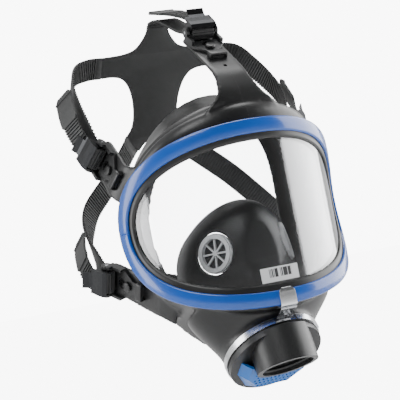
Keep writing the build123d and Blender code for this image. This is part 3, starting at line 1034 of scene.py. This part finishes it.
    def neck_rings(self, inset: float, last: float) -> list[list[Vector]]:
        """Rings of the whole chin neck, from inside the wall to the clamp.

        Args:
            inset: Distance inwards.
            last: How far past the clamp's middle it goes.

        Returns:
            The rings, top first.
        """
        rings = [self.chin_ring(i / 10, inset) for i in range(11)]
        out = self.clamp_frame().to_3x3() @ Z_AXIS
        for rise in (-3.0, last):
            rings.append([point + out * (self.straight_neck + rise) for point in rings[10]])
        return rings

    def build_body(self) -> bpy.types.Object:
        """Make the wall, neck and tabs as one moulded skin."""
        ring_angles = range(-90, 270, self.ring_step)
        wall = loft("facepiece", [self.wall_ring(a) for a in ring_angles], around=True)
        cut(wall, loft("chin_hollow", self.neck_rings(self.wall, 10.0)))
        neck = loft("chin_neck", self.neck_rings(0.0, 3.1))
        cut(neck, loft("neck_hollow", self.neck_rings(self.wall, 10.0)))
        solids = [wall, neck]
        for name, tab in TABS.items():
            solids.append(tab.build(f"{name}_tab"))
            if name != "forehead":
                twin = tab.build(f"{name}_tab_right")
                mirror(twin)
                solids.append(twin)
        body = join(solids, "facepiece_body")
        apply_modifier(body, "REMESH", mode="VOXEL", voxel_size=self.voxel * MM)
        apply_modifier(body, "SMOOTH", factor=0.5, iterations=self.passes)
        cut(body, self.strap_hole())
        smooth(body, 60)
        return body

    def strap_hole(self) -> bpy.types.Object:
        """Small hole at the foot of the forehead buckle."""
        along, outward = TABS["forehead"].directions()
        centre = Vector(TABS["forehead"].stud) + along * self.hole_ahead
        place = frame_matrix(centre, along, outward)
        return drum("tab_hole", self.hole_radius, -12.0, 12.0, place, 24)

    def build_channel(self) -> bpy.types.Object:
        """Make the channel and lip that hold the visor's edge."""
        rings = [self.rim.points(self.channel_section, a) for a in range(-90, 270, 2)]
        channel = loft("facepiece_channel", rings, around=True)
        smooth(channel, 35)
        return channel

    def build_studs(self) -> bpy.types.Object:
        """Make the studs and the loops that hold the buckles on their tabs."""
        shift = Matrix.Translation(X_AXIS * self.loop_ahead * MM)
        loop = [(-z, y) for y, z in self.buckle_loop]
        made = []
        for name, tab in TABS.items():
            for side in BUCKLE_SIDES[name]:
                place = tab.place()
                turned = place @ shift @ Matrix.Rotation(pi / 2, 4, "Y")
                arch = prism("loop", loop, 0.0, self.loop_length, turned)
                apply_modifier(arch, "BEVEL", width=0.5 * MM, segments=2)
                stem = drum("stem", 2.9, -1.0, 3.0, place, 32)
                head = drum("head", 3.9, 2.9, 4.9, place, 32)
                apply_modifier(head, "BEVEL", width=0.9 * MM, segments=4)
                pieces = [arch, stem, head]
                if side == "_right":
                    for piece in pieces:
                        mirror(piece)
                made += pieces
        studs = join(made, "facepiece_studs")
        smooth(studs, 35)
        return studs

    def make(self, paints: Paintbox) -> None:
        """Build, paint and place the facepiece."""
        for piece in (self.build_body(), self.build_channel(), self.build_studs()):
            place_piece(piece, paints, Finish.BODY, "facepiece_rubber", "facepiece")


# ---- visor and frame ------------------------------------------------------------------------


@dataclass
class Visor:
    """Clear wrap-round pane."""

    rim: RimLine
    inset: float = 2.6
    outer_radius: float = 90.9
    thickness: float = 2.5
    rings: int = 28

    def make(self, paints: Paintbox) -> None:
        """Build, paint and place the visor."""
        edge = [(-self.inset, self.outer_radius)]
        rim_points = [self.rim.points(edge, angle)[0] for angle in range(0, 360, 2)]
        rows = []
        for ring in range(self.rings + 1):
            share = ring / self.rings
            row = []
            for point in rim_points:
                swing = atan2(point.x, self.rim.axis_y - point.y) * share
                flat = Vector((sin(swing), -cos(swing), 0.0)) * self.outer_radius
                row.append(flat + Vector((0.0, self.rim.axis_y, point.z * share)))
            rows.append(row)
        pane = loft("visor_pane", rows, cap=False)
        activate(pane)
        if sum(face.normal.y for face in pane.data.polygons) > 0:
            bpy.ops.object.mode_set(mode="EDIT")
            bpy.ops.mesh.select_all(action="SELECT")
            bpy.ops.mesh.flip_normals()
            bpy.ops.object.mode_set(mode="OBJECT")
        apply_modifier(pane, "SOLIDIFY", thickness=self.thickness * MM, offset=-1.0)
        smooth(pane, 40)
        place_piece(pane, paints, Finish.CLEAR, "visor_clear", "visor")


@dataclass
class FrameBand:
    """Two halves of the blue band round the visor."""

    rim: RimLine
    profile: tuple[Pair, ...] = (
        (-10.5, 93.1), (-10.5, 94.1), (-10.35, 94.6), (-9.9, 95.0), (-9.3, 95.2), (-5.0, 95.45),
        (-0.8, 95.3), (-0.1, 95.05), (0.5, 94.6), (0.8, 93.9), (0.8, 88.7), (-0.6, 88.5),
        (-0.6, 93.1),
    )
    lug: tuple[Pair, ...] = ((-0.6, 89.0), (0.7, 89.0), (5.0, 87.0), (5.0, 82.0), (-0.6, 82.0))
    lug_height: float = 7.0
    face_radius: float = 95.2
    seam: float = 0.03
    seam_depth: float = 0.35
    seam_turn: float = 0.3

    def half(self, upper: bool) -> bpy.types.Object:
        """Make one half of the band with its two lugs.

        Args:
            upper: True for the half above the wearer's eyes.

        Returns:
            The half.
        """
        name = "frame_upper" if upper else "frame_lower"
        first = 0 if upper else 180
        last = first + 180
        gap = Vector((0.0, 0.0, self.seam if upper else -self.seam))
        deepest = self.face_radius - self.seam_depth
        sunk = [(out, min(radius, deepest)) for out, radius in self.profile]
        angles = [first + self.seam_turn, *range(first + 2, last, 2), last - self.seam_turn]
        rings = [self.rim.points(self.profile, angle) for angle in angles]
        rings.insert(0, [point + gap for point in self.rim.points(sunk, first)])
        rings.append([point + gap for point in self.rim.points(sunk, last)])
        pieces = [loft(f"{name}_band", rings)]
        rise = self.lug_height if upper else -self.lug_height
        corners = self.rim.points(self.lug, 0.0)
        for side in (1, -1):
            low, high = sorted((gap.z, rise))
            outline = [(side * corner.x, corner.y) for corner in corners]
            block = prism(f"{name}_lug", outline, low, high, Matrix.Identity(4))
            apply_modifier(block, "BEVEL", width=0.5 * MM, segments=2)
            pieces.append(block)
        band = join(pieces, f"{name}_band")
        smooth(band, 38)
        return band

    def make(self, paints: Paintbox) -> None:
        """Build, paint and place both halves."""
        for upper, node in ((True, "frame_upper"), (False, "frame_lower")):
            band = self.half(upper)
            place_piece(band, paints, Finish.BLUE, "frame_blue", node)


# ---- clasp and bracket ------------------------------------------------------------------------


@dataclass(frozen=True)
class PressedSheet:
    """Bent strip of steel: a path in the middle plane with a width at each bend."""

    name: str
    node: str
    slot: str
    path: tuple[Triple, ...]
    finish: Finish = Finish.BRIGHT
    thickness: float = 0.9

    def make(self, paints: Paintbox) -> None:
        """Build, paint and place the sheet.

        Args:
            paints: Where the material comes from.
        """
        half = self.thickness / 2
        knots = [Vector((0.0, y, z, width)) for y, z, width in self.path]
        points, widths = spline_with_width(knots, 5)
        rings = []
        for i, (point, width) in enumerate(zip(points, widths)):
            out = heading_at(points, i).cross(X_AXIS)
            rings.append(strip_ring(point, X_AXIS, out, width, -half, half))
        sheet = loft(self.name, rings)
        smooth(sheet, 35)
        place_piece(sheet, paints, self.finish, self.slot, self.node)


SHEETS = (
    PressedSheet(
        "clasp_sheet", "frame_clasp", "clasp_steel",
        ((-76.8, -74.45, 13.4), (-83.6, -74.45, 13.4), (-84.8, -73.9, 13.4), (-85.05, -72.6, 13.4),
         (-85.1, -69.0, 13.4), (-85.05, -65.6, 13.4), (-85.0, -63.6, 12.6), (-84.8, -62.2, 10.4),
         (-84.3, -61.4, 7.6), (-83.0, -61.25, 6.0)),
    ),
    PressedSheet(
        "bracket_sheet", "clasp_bracket", "clasp_steel",
        ((-76.8, -75.45, 13.2), (-81.8, -75.5, 13.2), (-82.8, -75.8, 13.2), (-82.9, -76.5, 13.2),
         (-82.0, -77.2, 13.2), (-77.0, -80.3, 13.2), (-72.6, -83.0, 13.2)),
        Finish.SATIN,
    ),
)


# ---- inner mask ------------------------------------------------------------------------------


@dataclass
class InnerMask:
    """Nose and mouth mask, rounded from its CAD solid."""

    voxel: float = 1.0
    passes: int = 12
    seat_point: Triple = (30.5, -38.0, -27.0)
    seat_out: Triple = (0.84, -0.52, 0.16)
    pocket_radius: float = 15.7

    def make(self, paints: Paintbox) -> None:
        """Build, paint and place the inner mask."""
        source = frame["nodes"]["inner_mask"]
        cup = bpy.data.objects.new("inner_cup", source.data.copy())
        bpy.context.scene.collection.objects.link(cup)
        close_mesh(cup, False)
        apply_modifier(cup, "REMESH", mode="VOXEL", voxel_size=self.voxel * MM)
        apply_modifier(cup, "SMOOTH", factor=0.5, iterations=self.passes)
        out = Vector(self.seat_out).normalized()
        place = frame_matrix(Vector(self.seat_point), out.orthogonal().normalized(), out)
        for side in (1, -1):
            pocket = drum("seat_pocket", self.pocket_radius, -2.4, 6.0, place, 72)
            pocket.data.transform(Matrix.Diagonal((side, 1, 1, 1)))
            close_mesh(pocket, False)
            cut(cup, pocket)
        smooth(cup, 50)
        place_piece(cup, paints, Finish.INNER, "inner_rubber", "inner_mask")


# ---- harness ---------------------------------------------------------------------------------


@dataclass
class HarnessPlate:
    """Cross-shaped plate behind the head, in its own plane."""

    origin: Triple = (0.0, 80.0, 134.0)
    outward: Triple = (0.0, 0.86, 0.51)
    thickness: float = 2.2
    upper_sweep: tuple[Pair, ...] = (
        (9.4, -42), (10.2, -36), (14, -29), (20, -22.5), (29, -19.5), (39, -18.6), (50, -18.4),
    )
    side_sweep: tuple[Pair, ...] = (
        (50, -0.3), (40, -0.2), (32, 2.2), (26, 9), (22, 20),
        (20.3, 32), (20.5, 43), (23, 51), (28, 57.5),
    )
    crotch: tuple[Pair, ...] = ((14.2, 70), (8, 62.5), (0, 59))

    def outline(self) -> list[tuple[float, float]]:
        """Whole outline, with smooth sweeps between the arms' ends."""
        half = []
        for sweep in (self.upper_sweep, self.side_sweep, self.crotch):
            half += [(p.x, p.y) for p in spline([Vector((x, y, 0.0)) for x, y in sweep], 6)]
        return half + [(-x, y) for x, y in reversed(half[:-1])]

    def make(self, paints: Paintbox) -> None:
        """Build, paint and place the plate."""
        outward = Vector(self.outward).normalized()
        place = frame_matrix(Vector(self.origin), X_AXIS, outward)
        half = self.thickness / 2
        plate = prism("harness_cross", self.outline(), -half, half, place)
        apply_modifier(plate, "BEVEL", width=0.6 * MM, segments=3, limit_method="ANGLE")
        smooth(plate, 40)
        place_piece(plate, paints, Finish.HARNESS, "strap_rubber", "harness_plate")


def roller_axle(name: str, side: str) -> Vector:
    """Middle of a buckle's roller in millimetres, on the wearer's left side.

    Args:
        name: Which buckle.
        side: "", "_left" or "_right".

    Returns:
        The point.
    """
    joints = {joint["name"]: joint for joint in frame["joints"]}
    place = Vector(joints[f"{name}_roller{side}_turn"]["pos_m"]) / MM
    place.x = abs(place.x)
    return place


@dataclass
class Strap:
    """Ribbed strap from the plate, round its roller and back to a smooth pull tab."""

    name: str
    arrives: tuple[tuple[Triple, Triple], ...]
    tail: tuple[Triple, ...]
    smooth_start: float
    arm: Triple
    side: str = ""
    tuck: float = 4.0
    wrap_radius: float = 5.5
    width: float = 18.5
    tab_width: float = 22.0
    tab_length: float = 27.0
    rib_pitch: float = 2.4
    rib_start: float = 0.08
    rib_end: float = 0.48
    next_groove: float = 0.56
    face: float = 1.1
    groove: float = 0.1
    grip_from_end: float = 5.2
    grip_width: float = 1.5
    grip_rise: float = 0.7
    taper: float = 3.0
    end_narrowing: float = 5.5

    def line(self) -> list[Station]:
        """Stations along the strap's middle: point, direction across, ribbed side."""
        tab = TABS[self.name]
        along, outward = tab.directions()
        axle = roller_axle(self.name, self.side)
        points = [Vector(point) for point, _ in self.arrives]
        faces = [-Vector(out).normalized() for _, out in self.arrives]
        points.insert(0, points[0] - Vector(self.arm).normalized() * self.tuck)
        faces.insert(0, faces[0].copy())
        points.append(axle + along * 9 - outward * self.wrap_radius)
        faces.append(-outward)
        for angle in range(-90, -271, -20):
            spoke = along * cos(radians(angle)) + outward * sin(radians(angle))
            points.append(axle + spoke * self.wrap_radius)
            faces.append(spoke)
        points += [axle + along * 6 + outward * self.wrap_radius, axle + along * 12 + outward * 6.2]
        points += [Vector(point) for point in self.tail]
        faces += [outward.copy() for _ in range(len(self.tail) + 2)]
        centres = spline(points, 8)
        sides = spline(faces, 8)
        stations = []
        for i, centre in enumerate(centres):
            ahead = heading_at(centres, i)
            out = (sides[i] - ahead * sides[i].dot(ahead)).normalized()
            stations.append((centre, out.cross(ahead), out))
        return stations

    def marks(self, length: float) -> list[tuple[float, float, float]]:
        """Where rings lie along the strap.

        Args:
            length: The strap's whole length.

        Returns:
            Distance, height of the ribbed side and width for each ring.
        """
        found = []
        tab_start = length - self.tab_length
        rib = (
            (0.0, self.groove), (self.rib_start, self.face),
            (self.rib_end, self.face), (self.next_groove, self.groove),
        )
        distance = 0.0
        while distance < self.tuck - 0.7:
            found.append((distance, self.face - 0.2, self.width - 1.2))
            distance += 1.0
        while distance < self.tuck + self.smooth_start:
            found.append((distance, self.face, self.width))
            distance += 2.0
        while distance + self.rib_pitch < tab_start - 1.0:
            for share, height in rib:
                found.append((distance + share * self.rib_pitch, height, self.width))
            distance += self.rib_pitch
        found.append((tab_start - 1.0, self.groove, self.width))
        found.append((tab_start - 0.8, self.face, self.width))
        found.append((tab_start + 1.5, self.face, self.tab_width))
        for step in range(1, 8):
            found.append((tab_start + 1.5 + step * 2.5, self.face, self.tab_width))
        grip = length - self.grip_from_end
        slope = self.grip_width / 10
        top = self.face + self.grip_rise
        grip_section = (
            (0.0, self.face), (slope, top),
            (self.grip_width - slope, top), (self.grip_width, self.face),
        )
        for shift, height in grip_section:
            found.append((grip + shift, height, self.tab_width))
        found.append((length - self.taper, self.face, self.tab_width))
        found.append((length - 0.01, self.face, self.tab_width - self.end_narrowing))
        return found

    def build(self) -> bpy.types.Object:
        """Make the strap as one closed skin."""
        stations = self.line()
        travelled = [0.0]
        for (a, _, _), (b, _, _) in zip(stations, stations[1:]):
            travelled.append(travelled[-1] + (b - a).length)
        rings = []
        index = 0
        flip = Vector((-1.0 if self.side == "_right" else 1.0, 1.0, 1.0))
        for distance, height, width in self.marks(travelled[-1]):
            while travelled[index + 1] < distance:
                index += 1
            share = (distance - travelled[index]) / (travelled[index + 1] - travelled[index])
            pairs = zip(stations[index], stations[index + 1])
            centre, across, out = (start.lerp(end, share) for start, end in pairs)
            low = -min(self.face, height) if distance < self.tuck else -self.face
            ring = strip_ring(centre, across.normalized(), out.normalized(), width, low, height)
            rings.append([point * flip for point in ring])
        strap = loft(f"{self.name}_webbing{self.side}", rings)
        smooth(strap, 28)
        return strap


FOREHEAD_ROUTE = (
    ((0, 57, 171), (0, 0.86, 0.51)), ((0, 40, 169.5), (0, -0.1, 1)),
    ((0, 20, 160.5), (0, -0.45, 0.9)), ((0, 3, 152.5), (0, -0.5, 0.9)),
)
FOREHEAD_TAIL = ((0, 0, 164.5), (0, 18, 170), (0, 34, 174.5), (0, 50, 178.5))
TEMPLE_LEFT_ROUTE = (
    ((50.3, 75.2, 142), (0.1, 0.86, 0.51)), ((69.3, 73, 140.5), (0.45, 0.8, 0.4)),
    ((80.9, 67, 128), (0.75, 0.55, 0.4)), ((89.5, 57, 111.3), (0.88, 0.35, 0.35)),
    ((92.4, 45, 95.8), (0.95, 0.1, 0.28)), ((89.5, 34, 80), (0.97, -0.1, 0.22)),
)
TEMPLE_LEFT_TAIL = ((98.6, 33.5, 83.5), (98.6, 40.5, 93), (97.4, 48, 105))
TEMPLE_RIGHT_ROUTE = (
    ((50.3, 75.2, 142), (0.1, 0.86, 0.51)), ((64, 70, 141), (0.5, 0.75, 0.45)),
    ((79, 61, 136), (0.8, 0.5, 0.4)), ((88, 50, 123), (0.9, 0.3, 0.35)),
    ((91, 38, 105), (0.97, 0.05, 0.25)), ((90, 28.5, 86), (0.97, -0.15, 0.2)),
)
TEMPLE_RIGHT_TAIL = ((99, 31.5, 89), (99.5, 38, 104), (97, 46, 120))
NECK_LEFT_ROUTE = (
    ((21.3, 112.2, 79.6), (0.0, 0.86, 0.51)), ((37, 101.5, 61), (0.3, 0.85, 0.4)),
    ((54, 91, 41), (0.55, 0.8, 0.25)), ((69, 81.5, 20), (0.75, 0.65, 0.1)),
    ((82, 70, -1), (0.87, 0.45, 0.0)), ((90, 55, -18), (0.92, 0.1, -0.1)),
)
NECK_RIGHT_ROUTE = (
    ((21.3, 112.2, 79.6), (0.0, 0.86, 0.51)), ((38, 102, 63), (0.12, 0.89, 0.42)),
    ((57.2, 93, 45.7), (0.25, 0.93, 0.27)), ((77, 85, 27.8), (0.32, 0.93, 0.2)),
    ((86.5, 76, 12.7), (0.6, 0.8, 0.1)), ((91, 66, 1.3), (0.85, 0.5, 0.0)),
    ((91.3, 55, -12), (0.95, 0.1, -0.15)),
)
NECK_TAIL = ((104.5, 52, -15), (102, 60.5, -4.5), (97.5, 68.5, 6))
TEMPLE_ARM = (1, 0, 0)
NECK_ARM = (0.67, 0.377, -0.636)
STRAPS = (
    Strap("forehead", FOREHEAD_ROUTE, FOREHEAD_TAIL, 8.0, (0, -0.51, 0.86)),
    Strap("temple", TEMPLE_LEFT_ROUTE, TEMPLE_LEFT_TAIL, 6.0, TEMPLE_ARM, "_left"),
    Strap("temple", TEMPLE_RIGHT_ROUTE, TEMPLE_RIGHT_TAIL, 6.0, TEMPLE_ARM, "_right"),
    Strap("neck", NECK_LEFT_ROUTE, NECK_TAIL, 10.0, NECK_ARM, "_left"),
    Strap("neck", NECK_RIGHT_ROUTE, NECK_TAIL, 10.0, NECK_ARM, "_right"),
)


class Harness:
    """Plate and five straps."""

    def make(self, paints: Paintbox) -> None:
        """Build, paint and place the harness."""
        HarnessPlate().make(paints)
        for strap in STRAPS:
            piece = strap.build()
            node = f"{strap.name}_strap{strap.side}"
            place_piece(piece, paints, Finish.HARNESS, "strap_rubber", node)


# ---- filter port -------------------------------------------------------------------------------


@dataclass
class PortThread:
    """Round thread ridge inside the filter port."""

    mouth: Triple = (0.0, -62.4, -120.2)
    tilt: float = 74.0
    bore: float = 20.02
    pitch: float = 3.63
    depth: float = 0.85
    turns: float = 3.1
    first: float = -1.2
    steps_a_turn: int = 60
    fade_steps: int = 12

    def make(self, paints: Paintbox) -> None:
        """Build, paint and place the thread."""
        tilt = radians(self.tilt)
        out = Vector((0.0, -cos(tilt), -sin(tilt)))
        up = out.cross(X_AXIS)
        rings = []
        count = round(self.turns * self.steps_a_turn)
        for step in range(count + 1):
            turn = 2 * pi * step / self.steps_a_turn
            spoke = X_AXIS * cos(turn) + up * sin(turn)
            height = self.first - self.pitch * step / self.steps_a_turn
            fade = ease(min(step, count - step) / self.fade_steps)
            deep = self.bore - max(self.depth * fade, 0.05)
            section = [(self.bore, 1.3), (self.bore, -1.3)]
            section += [(deep, -0.5), (deep - 0.08, 0.0), (deep, 0.5)]
            rings.append([Vector(self.mouth) + spoke * r + out * (height + z) for r, z in section])
        thread = loft("port_thread", rings)
        smooth(thread, 60)
        place_piece(thread, paints, Finish.BLACK, "housing_black")


# ---- carried-over CAD nodes ---------------------------------------------------------------------


class HardParts:
    """CAD nodes that keep their shape and get their finish."""

    def make(self, paints: Paintbox) -> None:
        """Paint every carried-over node."""
        finishes = dict(FINISH_OF_NODE)
        for name, sides in BUCKLE_SIDES.items():
            for side in sides:
                for part, finish in FINISH_OF_BUCKLE_PART.items():
                    finishes[f"{name}_{part}{side}"] = finish
        for node, finish in finishes.items():
            paints.paint(frame["nodes"][node], finish)
            log.info("%s: painted", node)


# ---- studio -------------------------------------------------------------------------------------


@dataclass(frozen=True)
class Softbox:
    """Rectangular soft light."""

    name: str
    place: Triple
    size: Pair
    power: float

    def build(self, aim: Vector) -> None:
        """Add the light, turned to a point.

        Args:
            aim: The point that it lights.
        """
        lamp = bpy.data.lights.new(self.name, "AREA")
        lamp.shape = "RECTANGLE"
        lamp.size, lamp.size_y = self.size
        lamp.energy = self.power
        light = bpy.data.objects.new(self.name, lamp)
        bpy.context.scene.collection.objects.link(light)
        light.location = self.place
        light.rotation_euler = (aim - Vector(self.place)).to_track_quat("-Z", "Y").to_euler()


@dataclass
class Studio:
    """Camera, lights and floor."""

    heading: float = 23.77
    elevation: float = -2.80
    roll: float = 10.85
    distance: float = 1.10019
    aim_right: float = -0.05004
    aim_up: float = 0.00451
    lens: float = 133.68
    sensor: float = 36.0
    floor_gap: float = 0.05
    backdrop: float = 9.0
    floor_glow: float = 0.93
    sky: tuple[Pair, ...] = ((0.0, 0.10), (0.35, 0.22), (0.62, 1.0))
    lights: tuple[Softbox, ...] = field(
        default_factory=lambda: (
            Softbox("key", (-0.9, -0.9, 1.2), (0.9, 0.9), 16.0),
            Softbox("left_strip", (-1.3, 0.3, 0.1), (0.5, 1.4), 14.0),
            Softbox("right_strip", (1.3, -0.1, 0.15), (1.5, 1.6), 44.0),
            Softbox("top", (0.2, 0.2, 1.4), (1.2, 0.6), 14.0),
        )
    )

    def add_camera(self) -> None:
        """Add the camera at the viewing angle."""
        turn, lift, tilt = radians(self.heading), radians(self.elevation), radians(self.roll)
        back = Vector((-sin(turn) * cos(lift), -cos(turn) * cos(lift), sin(lift)))
        level = Vector((cos(turn), -sin(turn), 0.0))
        upright = back.cross(level)
        right = level * cos(tilt) - upright * sin(tilt)
        up = level * sin(tilt) + upright * cos(tilt)
        front = Vector((0.0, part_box("visor")[0].y, 0.0))
        data = bpy.data.cameras.new("camera")
        data.lens = self.lens
        data.sensor_width = self.sensor
        data.clip_end = 50.0
        camera = bpy.data.objects.new("camera", data)
        bpy.context.scene.collection.objects.link(camera)
        aim = front + right * self.aim_right + up * self.aim_up
        turned = Matrix((right, up, back)).transposed().to_4x4()
        camera.matrix_world = Matrix.Translation(aim + back * self.distance) @ turned
        bpy.context.scene.camera = camera

    def add_floor(self) -> None:
        """Add a plain pale floor."""
        bpy.ops.object.select_all(action="DESELECT")
        low = CAD_BOX[0].z - self.floor_gap
        bpy.ops.mesh.primitive_plane_add(size=40.0, location=(0.0, 0.0, low))
        floor_piece = bpy.context.object
        floor_piece.name = "floor"
        graph = Graph.material("floor_paper")
        shade = graph.blend(graph.noise(3.0), (0.86, 0.86, 0.86), (0.88, 0.88, 0.88))
        values = {"Base Color": shade, "Roughness": 0.9}
        paper = graph.node("ShaderNodeBsdfPrincipled", inputs=values)
        glow = graph.node("ShaderNodeEmission", inputs={"Strength": self.backdrop})
        share = graph.node("ShaderNodeLightPath", output="Is Camera Ray") * self.floor_glow
        mixed = graph.node("ShaderNodeMixShader", inputs={0: share, 1: paper, 2: glow})
        floor_piece.data.materials.append(graph.finish(mixed))

    def add_world(self) -> None:
        """Add a white backdrop whose light is strong behind and weak in front."""
        world = bpy.data.worlds.new("studio")
        bpy.context.scene.world = world
        graph = Graph(world)
        place = graph.node("ShaderNodeTexCoord", output="Generated")
        depth = graph.node("ShaderNodeSeparateXYZ", inputs={0: place}, output="Y")
        stops = [(at, (level, level, level, 1.0)) for at, level in self.sky]
        sky = graph.node("ShaderNodeValToRGB", {"stops": stops}, {0: depth * 0.5 + 0.5})
        lit = graph.node("ShaderNodeBackground", inputs={"Color": sky})
        white = {"Color": (1.0, 1.0, 1.0, 1.0), "Strength": self.backdrop}
        seen = graph.node("ShaderNodeBackground", inputs=white)
        share = graph.node("ShaderNodeLightPath", output="Is Camera Ray")
        mixed = graph.node("ShaderNodeMixShader", inputs={0: share, 1: lit, 2: seen})
        graph.finish(mixed, "ShaderNodeOutputWorld")

    def make(self) -> None:
        """Build the whole studio."""
        self.add_camera()
        self.add_floor()
        self.add_world()
        aim = (CAD_BOX[0] + CAD_BOX[1]) / 2
        for light in self.lights:
            light.build(aim)


def main() -> None:
    """Build every sub-assembly in order."""
    logging.basicConfig(level=logging.INFO, format="%(name)s %(message)s")
    paints = Paintbox()
    Studio().make()
    rim = RimLine()
    Facepiece(rim).make(paints)
    Visor(rim).make(paints)
    FrameBand(rim).make(paints)
    for sheet in SHEETS:
        sheet.make(paints)
    InnerMask().make(paints)
    Harness().make(paints)
    PortThread().make(paints)
    HardParts().make(paints)


if __name__ == "__main__":
    main()
